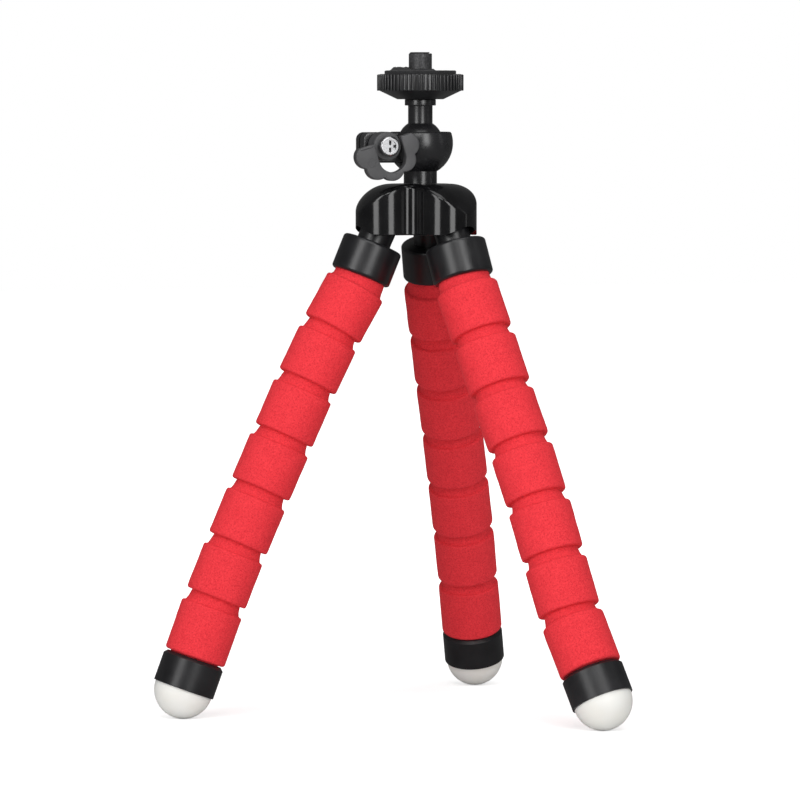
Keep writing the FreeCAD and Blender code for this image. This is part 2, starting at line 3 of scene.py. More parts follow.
import json
import logging
import math
from collections.abc import Callable
from dataclasses import dataclass, field
from enum import Enum

import bmesh
import bpy
from mathutils import Matrix, Vector, noise

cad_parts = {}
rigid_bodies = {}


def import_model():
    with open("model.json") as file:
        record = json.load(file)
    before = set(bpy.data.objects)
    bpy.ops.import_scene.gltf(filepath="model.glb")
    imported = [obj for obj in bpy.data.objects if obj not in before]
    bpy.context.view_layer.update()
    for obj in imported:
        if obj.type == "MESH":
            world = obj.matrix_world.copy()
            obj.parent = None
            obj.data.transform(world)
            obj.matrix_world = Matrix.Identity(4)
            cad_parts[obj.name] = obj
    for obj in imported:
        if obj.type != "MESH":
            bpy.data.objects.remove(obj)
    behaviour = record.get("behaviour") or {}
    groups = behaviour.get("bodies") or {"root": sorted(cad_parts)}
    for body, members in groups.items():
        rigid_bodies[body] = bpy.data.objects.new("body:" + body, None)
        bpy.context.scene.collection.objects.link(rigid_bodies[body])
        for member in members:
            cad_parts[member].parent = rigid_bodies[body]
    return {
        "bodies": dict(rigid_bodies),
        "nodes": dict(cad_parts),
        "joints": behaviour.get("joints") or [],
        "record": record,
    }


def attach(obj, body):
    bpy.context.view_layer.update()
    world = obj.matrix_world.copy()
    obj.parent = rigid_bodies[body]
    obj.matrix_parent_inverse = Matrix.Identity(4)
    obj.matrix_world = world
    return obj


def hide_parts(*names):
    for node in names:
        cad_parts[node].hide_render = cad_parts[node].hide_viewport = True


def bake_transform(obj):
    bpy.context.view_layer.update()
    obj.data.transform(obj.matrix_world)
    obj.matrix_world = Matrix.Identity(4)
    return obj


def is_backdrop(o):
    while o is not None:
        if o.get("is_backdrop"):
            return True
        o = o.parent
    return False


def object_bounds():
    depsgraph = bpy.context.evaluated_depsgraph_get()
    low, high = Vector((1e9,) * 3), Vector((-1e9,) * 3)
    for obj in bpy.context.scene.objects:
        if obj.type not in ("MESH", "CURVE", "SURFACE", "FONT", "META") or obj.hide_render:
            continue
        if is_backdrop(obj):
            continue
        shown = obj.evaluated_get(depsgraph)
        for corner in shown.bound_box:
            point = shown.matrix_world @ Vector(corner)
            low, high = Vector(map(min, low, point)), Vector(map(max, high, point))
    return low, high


LOG = logging.getLogger("mini_tripod")
MM = 0.001
SHARP_ANGLE = math.radians(38)
MERGE_DISTANCE = 2e-7
ON_AXIS = 1e-6
SHORTEST_EDGE = 1e-4
CORNER_SHARE = 0.49
SLAB_EDGE_STEPS = 4
RGBA_FIRST, RGBA_SECOND, RGBA_RESULT = 6, 7, 2
WHITE = (1.0, 1.0, 1.0, 1.0)

Colour = tuple[float, ...]
Point2 = tuple[float, float]
Triple = tuple[float, float, float]
Corner = tuple[float, float, float]
Placer = Callable[[float, float, float], Vector]


class Side(Enum):
    """Which way a leg piece lies from the groove it bends at."""

    ABOVE = 1
    BELOW = -1


# Mesh making


def rounded_path(corners: list[Corner], steps: int = 5) -> list[Point2]:
    """Open polyline through the given corners, each one but the ends rounded by its own radius.

    Args:
        corners: (x, y, radius) of each corner, in order.
        steps: number of spans on each rounded corner.

    Returns:
        The points of the rounded polyline.
    """
    points: list[Point2] = []
    for index, (x, y, radius) in enumerate(corners):
        if radius <= 0 or index in (0, len(corners) - 1):
            points.append((x, y))
            continue
        here = Vector((x, y))
        before = Vector(corners[index - 1][:2]) - here
        after = Vector(corners[index + 1][:2]) - here
        half = before.angle(after) / 2
        reach = min(radius / math.tan(half), before.length * CORNER_SHARE, after.length * CORNER_SHARE)
        bend = reach * math.tan(half)
        centre = here + (before.normalized() + after.normalized()).normalized() * (bend / math.sin(half))
        start = here + before.normalized() * reach - centre
        turn = start.angle_signed(here + after.normalized() * reach - centre)
        for step in range(steps + 1):
            spot = centre + Matrix.Rotation(-turn * step / steps, 2) @ start
            points.append((spot.x, spot.y))
    return points


def shifted(corners: tuple[Corner, ...], x: float, y: float) -> list[Corner]:
    """Corners moved by x and y, with their roundings kept."""
    return [(x + dx, y + dy, rounding) for dx, dy, rounding in corners]


def smooth(low: float, high: float, value: float) -> float:
    """Smooth step from 0 at low to 1 at high."""
    share = min(1.0, max(0.0, (value - low) / (high - low)))
    return share * share * (3 - 2 * share)


def turn_angles(segments: int) -> list[float]:
    """Angles of the points round a full turn."""
    return [2 * math.pi * step / segments for step in range(segments)]


def upright(angle: float, radius: float, height: float) -> Vector:
    """Point about the frame's Z axis, given in millimetres."""
    return Vector((radius * math.cos(angle), radius * math.sin(angle), height)) * MM


def add_lathe(mesh: bmesh.types.BMesh, profile: list[Point2], segments: int, place: Placer = upright) -> None:
    """Turn a profile into a closed skin; its ends that are off the axis are closed by flat rounds.

    Args:
        mesh: the mesh that gets the skin.
        profile: (radius, height) of each station, in millimetres.
        segments: number of steps round.
        place: gives the point for an angle, a radius and a height.
    """
    rings: list[list[bmesh.types.BMVert]] = []
    for radius, height in profile:
        if radius < ON_AXIS:
            rings.append([mesh.verts.new(place(0.0, 0.0, height))])
        else:
            rings.append([mesh.verts.new(place(angle, radius, height)) for angle in turn_angles(segments)])
    for low, high in zip(rings, rings[1:]):
        join_rings(mesh, low, high)
    for ring, (_, height) in ((rings[0], profile[0]), (rings[-1], profile[-1])):
        if len(ring) > 1:
            join_rings(mesh, ring, [mesh.verts.new(place(0.0, 0.0, height))])


def add_ring_lathe(mesh: bmesh.types.BMesh, profile: list[Point2], segments: int, place: Placer = upright) -> None:
    """Turn a closed profile, whose last station joins its first, into a ring-shaped skin.

    Args:
        mesh: the mesh that gets the skin.
        profile: (radius, height) of each station, in millimetres.
        segments: number of steps round.
        place: gives the point for an angle, a radius and a height.
    """
    angles = turn_angles(segments)
    rings = [[mesh.verts.new(place(angle, radius, height)) for angle in angles] for radius, height in profile]
    for low, high in zip(rings, rings[1:] + rings[:1]):
        join_rings(mesh, low, high)


def join_rings(mesh: bmesh.types.BMesh, low: list[bmesh.types.BMVert], high: list[bmesh.types.BMVert]) -> None:
    """Faces between two closed rings; a ring of one point makes a fan.

    Args:
        mesh: the mesh that gets the faces.
        low: points of the first ring.
        high: points of the second ring.
    """
    for step in range(max(len(low), len(high))):
        near = (low[step % len(low)], high[step % len(high)])
        far = (low[(step + 1) % len(low)], high[(step + 1) % len(high)])
        distinct = list(dict.fromkeys((near[0], far[0], far[1], near[1])))
        if len(distinct) > 2:
            mesh.faces.new(distinct)


def add_slab(
    mesh: bmesh.types.BMesh, outline: list[Point2], low: float, high: float, rounding: float, place: Placer
) -> None:
    """Flat plate over a closed outline, with its edges rounded.

    Args:
        mesh: the mesh that gets the plate.
        outline: points round the plate, closely spaced.
        low: height of its lower face.
        high: height of its upper face.
        rounding: radius of its rounded edges.
        place: gives the point for x, y and a height.
    """
    inward = outline_normals(outline)
    rings: list[list[bmesh.types.BMVert]] = []
    for face, sign in ((low, 1), (high, -1)):
        for step in range(SLAB_EDGE_STEPS + 1)[::sign]:
            angle = math.pi / 2 * step / SLAB_EDGE_STEPS
            inset = rounding * (1 - math.sin(angle))
            height = face + sign * rounding * (1 - math.cos(angle))
            ring = [(x + nx * inset, y + ny * inset) for (x, y), (nx, ny) in zip(outline, inward)]
            rings.append([mesh.verts.new(place(x, y, height)) for x, y in ring])
    for lower, upper in zip(rings, rings[1:]):
        join_rings(mesh, lower, upper)
    for ring in (rings[0], rings[-1]):
        edges = [mesh.edges.get((first, second)) for first, second in zip(ring, ring[1:] + ring[:1])]
        bmesh.ops.triangle_fill(mesh, use_beauty=True, use_dissolve=False, edges=edges)


def even_outline(points: list[Point2], step: float) -> list[Point2]:
    """Closed outline resampled at an even step, so that its corners get close points.

    Args:
        points: corners round the outline.
        step: distance between the new points, about.

    Returns:
        The points of the new outline.
    """
    made: list[Point2] = []
    for (x, y), (x2, y2) in zip(points, points[1:] + points[:1]):
        length = math.hypot(x2 - x, y2 - y)
        if length < SHORTEST_EDGE:
            continue
        parts = max(1, round(length / step))
        made += [(x + (x2 - x) * part / parts, y + (y2 - y) * part / parts) for part in range(parts)]
    return made


def outline_normals(points: list[Point2]) -> list[Point2]:
    """Unit inward normal at each point of a closed outline, whichever way it runs.

    Args:
        points: points round the outline.

    Returns:
        One unit vector for each point.
    """
    area = sum(x * y2 - x2 * y for (x, y), (x2, y2) in zip(points, points[1:] + points[:1]))
    side = 1.0 if area > 0 else -1.0
    normals: list[Point2] = []
    for index in range(len(points)):
        before, after = points[index - 1], points[(index + 1) % len(points)]
        run = Vector((after[0] - before[0], after[1] - before[1])).normalized()
        normals.append((-run.y * side, run.x * side))
    return normals


def finished(name: str, mesh: bmesh.types.BMesh, material: bpy.types.Material) -> bpy.types.Object:
    """Object at the origin from a mesh, faces outward, smooth but for its sharp edges.

    Args:
        name: the piece's name.
        mesh: the mesh, which is used up.
        material: the piece's material.

    Returns:
        The new object, linked to the scene.
    """
    bmesh.ops.remove_doubles(mesh, verts=mesh.verts, dist=MERGE_DISTANCE)
    bmesh.ops.recalc_face_normals(mesh, faces=mesh.faces)
    for face in mesh.faces:
        face.smooth = True
    for edge in mesh.edges:
        edge.smooth = edge.calc_face_angle(0.0) < SHARP_ANGLE
    data = bpy.data.meshes.new(name)
    mesh.to_mesh(data)
    mesh.free()
    data.materials.append(material)
    return linked(name, data)


def linked(name: str, data: bpy.types.ID | None) -> bpy.types.Object:
    """New object of some data, linked to the scene.

    Args:
        name: the object's name.
        data: its mesh, lamp or camera.

    Returns:
        The new object.
    """
    made = bpy.data.objects.new(name, data)
    bpy.context.scene.collection.objects.link(made)
    return made


# Shader making


class Board:
    """Short calls for laying out a node tree."""

    def __init__(self, tree: bpy.types.NodeTree) -> None:
        """Keep the tree that the nodes go into."""
        self.tree = tree

    def add(self, kind: str, **values: object) -> bpy.types.Node:
        """Add a node; each value sets the input or the property of that name.

        Args:
            kind: the node's type name.
            **values: inputs by name with underscores for spaces, or properties.

        Returns:
            The new node.
        """
        node = self.tree.nodes.new(kind)
        for key, value in values.items():
            title = key.replace("_", " ").title()
            if title in node.inputs:
                self.put(value, node.inputs[title])
            else:
                setattr(node, key, value)
        return node

    def put(self, value: object, socket: bpy.types.NodeSocket) -> None:
        """Link an output to a socket, or set the socket's own value.

        Args:
            value: another node's output, or a plain value.
            socket: the input that gets it.
        """
        if isinstance(value, bpy.types.NodeSocket):
            self.tree.links.new(value, socket)
        else:
            socket.default_value = value

    def math(self, operation: str, first: object, second: object = 0.0, clamp: bool = False) -> bpy.types.NodeSocket:
        """Output of a Math node on two values or sockets.

        Args:
            operation: the node's operation.
            first: its first value or socket.
            second: its second value or socket.
            clamp: whether the result is kept from 0 to 1.

        Returns:
            The node's output.
        """
        node = self.tree.nodes.new("ShaderNodeMath")
        node.operation = operation
        node.use_clamp = clamp
        self.put(first, node.inputs[0])
        self.put(second, node.inputs[1])
        return node.outputs[0]

    def blend(self, factor: object, low: object, high: object) -> bpy.types.NodeSocket:
        """Output colour between two colours, each given as a tuple or as another node's output.

        Args:
            factor: share of the second colour, a value or a socket.
            low: the first colour.
            high: the second colour.

        Returns:
            The node's output colour.
        """
        node = self.add("ShaderNodeMix", data_type="RGBA")
        self.put(factor, node.inputs[0])
        for colour, socket in ((low, node.inputs[RGBA_FIRST]), (high, node.inputs[RGBA_SECOND])):
            self.put((*colour, 1.0) if isinstance(colour, tuple) else colour, socket)
        return node.outputs[RGBA_RESULT]

    def span(
        self, value: object, low: float = 0.0, high: float = 1.0, to_low: float = 0.0, to_high: float = 1.0
    ) -> bpy.types.NodeSocket:
        """Output of a clamped Map Range node.

        Args:
            value: the socket that is read.
            low: its value at the start.
            high: its value at the end.
            to_low: what comes out at the start.
            to_high: what comes out at the end.

        Returns:
            The node's output.
        """
        node = self.tree.nodes.new("ShaderNodeMapRange")
        self.put(value, node.inputs[0])
        for index, number in enumerate((low, high, to_low, to_high)):
            node.inputs[index + 1].default_value = number
        return node.outputs[0]

    def group(self, tree: bpy.types.NodeTree, place: bpy.types.NodeSocket, **values: float) -> bpy.types.Node:
        """Add a shared group that reads the given place.

        Args:
            tree: the group's tree.
            place: the coordinates that it works on.
            **values: its number inputs by name, with underscores for spaces.

        Returns:
            The group's node.
        """
        node = self.add("ShaderNodeGroup", node_tree=tree)
        for key, value in {"vector": place, **values}.items():
            self.put(value, node.inputs[key.replace("_", " ").title()])
        return node

    def bump(self, shader: bpy.types.Node, height: bpy.types.NodeSocket, depth_mm: float, strength: float) -> None:
        """Give a shader a relief of the given depth and strength."""
        node = self.add("ShaderNodeBump", strength=strength, distance=depth_mm * MM, height=height)
        self.put(node.outputs[0], shader.inputs["Normal"])


class Effects:
    """Node groups that several materials share."""

    mottle_range: Point2 = (0.3, 0.7)
    speckle_range: Point2 = (0.35, 0.68)
    pit_depth: float = 1.6
    rub_range: Point2 = (0.56, 0.7)
    rub_scale: float = 160.0

    def __init__(self) -> None:
        """Build every shared group once."""
        self.grain = self._grain()
        self.pores = self._pores()
        self.dust = self._dust()

    @staticmethod
    def _start(
        name: str, inputs: dict[str, float], outputs: tuple[str, ...]
    ) -> tuple[Board, bpy.types.Node, bpy.types.Node]:
        """Begin a group with a Vector input, number inputs and number outputs.

        Args:
            name: the group's name.
            inputs: its number inputs and their usual values.
            outputs: names of its outputs.

        Returns:
            A board on the group, its input node and its output node.
        """
        tree = bpy.data.node_groups.new(name, "ShaderNodeTree")
        tree.interface.new_socket("Vector", in_out="INPUT", socket_type="NodeSocketVector")
        for title, value in inputs.items():
            tree.interface.new_socket(title, in_out="INPUT", socket_type="NodeSocketFloat").default_value = value
        for title in outputs:
            tree.interface.new_socket(title, in_out="OUTPUT", socket_type="NodeSocketFloat")
        return Board(tree), tree.nodes.new("NodeGroupInput"), tree.nodes.new("NodeGroupOutput")

    def _grain(self) -> bpy.types.NodeTree:
        """Fine moulded grain with a slow mottling over it.

        Returns:
            The group, with the outputs Height and Mottle.
        """
        names = {"Scale": 2500.0, "Mottle Scale": 120.0}
        board, given, out = self._start("moulded_grain", names, ("Height", "Mottle"))
        place, scale, mottle_scale = given.outputs[:3]
        fine = board.add("ShaderNodeTexNoise", vector=place, scale=scale, detail=3.0, roughness=0.6)
        slow = board.add("ShaderNodeTexNoise", vector=place, scale=mottle_scale, detail=2.0)
        board.put(fine.outputs[0], out.inputs["Height"])
        board.put(board.span(slow.outputs[0], *self.mottle_range), out.inputs["Mottle"])
        return board.tree

    def _pores(self) -> bpy.types.NodeTree:
        """Small open cells of cut foam or thin rubber, on a speckled ground.

        Returns:
            The group, with the outputs Height, Pit and Speckle.
        """
        names = {"Scale": 3200.0, "Cell Size": 0.34}
        board, given, out = self._start("open_pores", names, ("Height", "Pit", "Speckle"))
        place, scale, cell_size = given.outputs[:3]
        warp = board.add("ShaderNodeTexNoise", vector=place, scale=scale, detail=2.0, roughness=0.7)
        cells = board.add("ShaderNodeTexVoronoi", vector=place, scale=scale)
        pit = board.math("LESS_THAN", cells.outputs[0], cell_size)
        soft = board.math("SUBTRACT", cell_size, cells.outputs[0], clamp=True)
        height = board.math("SUBTRACT", warp.outputs[0], board.math("MULTIPLY", soft, self.pit_depth))
        board.put(height, out.inputs["Height"])
        board.put(pit, out.inputs["Pit"])
        board.put(board.span(warp.outputs[0], *self.speckle_range), out.inputs["Speckle"])
        return board.tree

    def _dust(self) -> bpy.types.NodeTree:
        """Sparse pale specks and faint rubbed patches.

        Returns:
            The group, with the outputs Speck and Rub.
        """
        names = {"Scale": 1400.0, "Speck Size": 0.07}
        board, given, out = self._start("dust_and_rubs", names, ("Speck", "Rub"))
        place, scale, speck_size = given.outputs[:3]
        cells = board.add("ShaderNodeTexVoronoi", vector=place, scale=scale)
        speck = board.math("LESS_THAN", cells.outputs[0], speck_size)
        patch = board.add("ShaderNodeTexNoise", vector=place, scale=self.rub_scale, detail=4.0, roughness=0.65)
        where = board.span(patch.outputs[0], *self.rub_range)
        board.put(board.math("MULTIPLY", speck, where), out.inputs["Speck"])
        board.put(where, out.inputs["Rub"])
        return board.tree


def new_material(name: str) -> tuple[bpy.types.Material, Board, bpy.types.Node, bpy.types.NodeSocket]:
    """Start a material: its board, its Principled BSDF and its Object coordinates.

    Args:
        name: the material's name.

    Returns:
        The material, its board, its shader and the coordinates.
    """
    material = bpy.data.materials.new(name)
    material.use_nodes = True
    board = Board(material.node_tree)
    shader = material.node_tree.nodes["Principled BSDF"]
    place = board.add("ShaderNodeTexCoord").outputs["Object"]
    return material, board, shader, place


@dataclass(frozen=True)
class MouldedPlastic:
    """Black moulded plastic, from satin to glossy, with a few specks of dust."""

    name: str
    colour: Colour
    roughness: float
    gloss_level: float = 0.5
    grain: float = 0.012
    grain_scale: float = 2600.0
    rub: float = 0.05
    mottle_gain: float = 1.5
    mottle_lift: float = 0.004
    speck_lift: float = 0.05
    speck_share: float = 0.6
    rough_spread: Point2 = (0.9, 1.1)
    bump_strength: float = 0.6

    def material(self, effects: Effects) -> bpy.types.Material:
        """Build the finish's material from the shared effects.

        Args:
            effects: the node groups that the finishes share.

        Returns:
            The new material.
        """
        material, board, shader, place = new_material(self.name)
        grain = board.group(effects.grain, place, scale=self.grain_scale)
        dust = board.group(effects.dust, place)
        lighter = tuple(channel * self.mottle_gain + self.mottle_lift for channel in self.colour)
        speck = tuple(channel + self.speck_lift for channel in self.colour)
        tint = board.blend(grain.outputs["Mottle"], self.colour, lighter)
        dusty = board.blend(board.math("MULTIPLY", dust.outputs["Speck"], self.speck_share), tint, speck)
        board.put(dusty, shader.inputs["Base Color"])
        worn = board.math("MULTIPLY", dust.outputs["Rub"], self.rub)
        smoothest, roughest = (self.roughness * share for share in self.rough_spread)
        spread = board.span(grain.outputs["Mottle"], to_low=smoothest, to_high=roughest)
        board.put(board.math("ADD", spread, worn), shader.inputs["Roughness"])
        board.bump(shader, grain.outputs["Height"], self.grain, self.bump_strength)
        shader.inputs["Specular IOR Level"].default_value = self.gloss_level
        return material


@dataclass(frozen=True)
class OpenFoam:
    """Soft closed-cell foam or thin rubber with a skin of tiny pores, with painted shade in the pores."""

    name: str
    colour: Colour
    deep: Colour
    pale: Colour
    roughness: float = 0.82
    scale: float = 2000.0
    depth: float = 0.12
    sheen: float = 0.0
    mottle_scale: float = 260.0
    mottle_share: float = 0.1
    # share of the deep colour painted into the pores: painted shade in the pits
    pit_shade_share: float = 0.35
    rough_spread: float = 0.12
    bump_strength: float = 0.7
    gloss_level: float = 0.15
    sheen_roughness: float = 0.5

    def material(self, effects: Effects) -> bpy.types.Material:
        """Build the finish's material from the shared effects.

        Args:
            effects: the node groups that the finishes share.

        Returns:
            The new material.
        """
        material, board, shader, place = new_material(self.name)
        pores = board.group(effects.pores, place, scale=self.scale)
        grain = board.group(effects.grain, place, mottle_scale=self.mottle_scale)
        speckle = pores.outputs["Speckle"]
        mottle = board.math("MULTIPLY", grain.outputs["Mottle"], self.mottle_share)
        mottled = board.blend(mottle, board.blend(speckle, self.colour, self.pale), self.deep)
        # painted shade: the pores are darkened towards the deep colour
        pit_shaded = board.blend(board.math("MULTIPLY", pores.outputs["Pit"], self.pit_shade_share), mottled, self.deep)
        board.put(pit_shaded, shader.inputs["Base Color"])
        roughest = self.roughness + self.rough_spread
        board.put(board.span(speckle, to_low=self.roughness, to_high=roughest), shader.inputs["Roughness"])
        board.bump(shader, pores.outputs["Height"], self.depth, self.bump_strength)
        shader.inputs["Specular IOR Level"].default_value = self.gloss_level
        shader.inputs["Sheen Weight"].default_value = self.sheen
        shader.inputs["Sheen Roughness"].default_value = self.sheen_roughness
        return material


@dataclass(frozen=True)
class Metal:
    """Plated or bare metal with fine turning marks."""

    name: str
    colour: Colour
    roughness: float
    marks: float
    shade: float = 0.8
    rough_spread: Point2 = (0.8, 1.3)
    mark_range: Point2 = (0.3, 0.7)
    bump_strength: float = 0.5

    def material(self, effects: Effects) -> bpy.types.Material:
        """Build the finish's material from the shared effects.

        Args:
            effects: the node groups that the finishes share.

        Returns:
            The new material.
        """
        material, board, shader, place = new_material(self.name)
        grain = board.group(effects.grain, place)
        height = grain.outputs["Height"]
        darker = tuple(channel * self.shade for channel in self.colour)
        board.put(board.blend(grain.outputs["Mottle"], self.colour, darker), shader.inputs["Base Color"])
        smoothest, roughest = (self.roughness * share for share in self.rough_spread)
        board.put(board.span(height, *self.mark_range, smoothest, roughest), shader.inputs["Roughness"])
        board.bump(shader, height, self.marks, self.bump_strength)
        shader.inputs["Metallic"].default_value = 1.0
        return material


@dataclass(frozen=True)
class CoatedThread:
    """Dull black coating on a screw, rubbed paler along its thread crests."""

    name: str
    colour: Colour
    rubbed: Colour
    crest_start: float
    crest_end: float
    grain_scale: float = 1800.0
    grain: float = 0.02
    bump_strength: float = 0.7
    rub_range: Point2 = (0.35, 0.65)
    rub_share: Point2 = (0.3, 1.0)
    dull: float = 0.55
    shiny: float = 0.4
    metallic: float = 0.35

    def material(self, effects: Effects) -> bpy.types.Material:
        """Build the finish's material; the rub follows the distance from the screw's axis.

        Args:
            effects: the node groups that the finishes share.

        Returns:
            The new material.
        """
        material, board, shader, place = new_material(self.name)
        parts = board.add("ShaderNodeSeparateXYZ", vector=place)
        squares = [board.math("MULTIPLY", parts.outputs[axis], parts.outputs[axis]) for axis in (0, 1)]
        radius = board.math("SQRT", board.math("ADD", *squares))
        crest = board.span(radius, self.crest_start * MM, self.crest_end * MM)
        grain = board.group(effects.grain, place, scale=self.grain_scale)
        height = grain.outputs["Height"]
        rub = board.math("MULTIPLY", crest, board.span(height, *self.rub_range, *self.rub_share))
        board.put(board.blend(rub, self.colour, self.rubbed), shader.inputs["Base Color"])
        board.put(board.span(rub, to_low=self.dull, to_high=self.shiny), shader.inputs["Roughness"])
        board.bump(shader, height, self.grain, self.bump_strength)
        shader.inputs["Metallic"].default_value = self.metallic
        return material


@dataclass(frozen=True)
class MilkySoftPlastic:
    """Smooth white soft plastic that lets a little light in."""

    name: str
    colour: Colour
    yellowing: Colour = (0.97, 0.96, 0.92)
    scuff: Colour = (0.45, 0.44, 0.42)
    scuff_share: float = 0.25
    mottle_scale: float = 90.0
    roughness: float = 0.38
    rough_spread: float = 0.12
    grain: float = 0.008
    bump_strength: float = 0.4
    inside: float = 0.35
    inside_reach: Colour = (1.0, 0.95, 0.9)
    depth_mm: float = 1.6

    def material(self, effects: Effects) -> bpy.types.Material:
        """Build the finish's material from the shared effects.

        Args:
            effects: the node groups that the finishes share.

        Returns:
            The new material.
        """
        material, board, shader, place = new_material(self.name)
        grain = board.group(effects.grain, place, mottle_scale=self.mottle_scale)
        dust = board.group(effects.dust, place)
        yellowed = tuple(channel * share for channel, share in zip(self.colour, self.yellowing))
        clean = board.blend(grain.outputs["Mottle"], self.colour, yellowed)
        scuffed = board.blend(board.math("MULTIPLY", dust.outputs["Speck"], self.scuff_share), clean, self.scuff)
        board.put(scuffed, shader.inputs["Base Color"])
        roughest = self.roughness + self.rough_spread
        rough = board.span(dust.outputs["Rub"], to_low=self.roughness, to_high=roughest)
        board.put(rough, shader.inputs["Roughness"])
        board.bump(shader, grain.outputs["Height"], self.grain, self.bump_strength)
        shader.inputs["Subsurface Weight"].default_value = self.inside
        shader.inputs["Subsurface Radius"].default_value = self.inside_reach
        shader.inputs["Subsurface Scale"].default_value = self.depth_mm * MM
        return material


RED_FOAM = OpenFoam("red_foam", (0.70, 0.030, 0.041), (0.42, 0.010, 0.020), (0.83, 0.050, 0.062))
PAD_RUBBER = OpenFoam(
    "pad_rubber", (0.020, 0.020, 0.021), (0.006, 0.006, 0.006), (0.034, 0.034, 0.036),
    roughness=0.7, scale=2400.0, depth=0.05, sheen=0.1,
)
HUB_GLOSS = MouldedPlastic("hub_gloss", (0.003, 0.003, 0.0034), 0.13, gloss_level=0.52, grain=0.004)
HEAD_BLACK = MouldedPlastic("head_black", (0.008, 0.008, 0.009), 0.27, gloss_level=0.8, grain=0.006)
KNOB_BLACK = MouldedPlastic("knob_black", (0.050, 0.050, 0.052), 0.50, grain=0.035, grain_scale=1900.0)
DISC_BLACK = MouldedPlastic("disc_black", (0.008, 0.008, 0.009), 0.34, gloss_level=0.95, grain=0.02)
COLLAR_SATIN = MouldedPlastic("collar_satin", (0.006, 0.006, 0.007), 0.33, gloss_level=0.62, grain=0.016)
CAP_BLACK = MouldedPlastic("cap_black", (0.009, 0.009, 0.010), 0.34, gloss_level=0.45, grain=0.016)
SCREW_BLACK = CoatedThread("screw_black", (0.018, 0.018, 0.019), (0.085, 0.085, 0.088), 2.85, 3.17)
BRIGHT_CHROME = Metal("bright_chrome", (0.42, 0.42, 0.43), 0.16, marks=0.001)
ZINC_STEEL = Metal("zinc_steel", (0.60, 0.60, 0.58), 0.3, marks=0.008)
WIRE_STEEL = Metal("wire", (0.45, 0.45, 0.46), 0.4, marks=0.01)
WHITE_FOOT = MilkySoftPlastic("white_foot", (0.84, 0.84, 0.82))


class Paints:
    """Every material of the tripod, made once."""

    def __init__(self) -> None:
        """Build the shared effects and then each finish."""
        effects = Effects()
        self.foam = RED_FOAM.material(effects)
        self.pad = PAD_RUBBER.material(effects)
        self.hub = HUB_GLOSS.material(effects)
        self.head = HEAD_BLACK.material(effects)
        self.knob = KNOB_BLACK.material(effects)
        self.disc = DISC_BLACK.material(effects)
        self.collar = COLLAR_SATIN.material(effects)
        self.cap = CAP_BLACK.material(effects)
        self.screw = SCREW_BLACK.material(effects)
        self.chrome = BRIGHT_CHROME.material(effects)
        self.zinc = ZINC_STEEL.material(effects)
        self.wire = WIRE_STEEL.material(effects)
        self.foot = WHITE_FOOT.material(effects)


def dress(node: bpy.types.Object, material: bpy.types.Material) -> None:
    """Give a carried-over solid its material.

    Args:
        node: the solid's object.
        material: its material.
    """
    node.data.materials.clear()
    node.data.materials.append(material)
    LOG.info("dressed %s", node.name)


# Seat


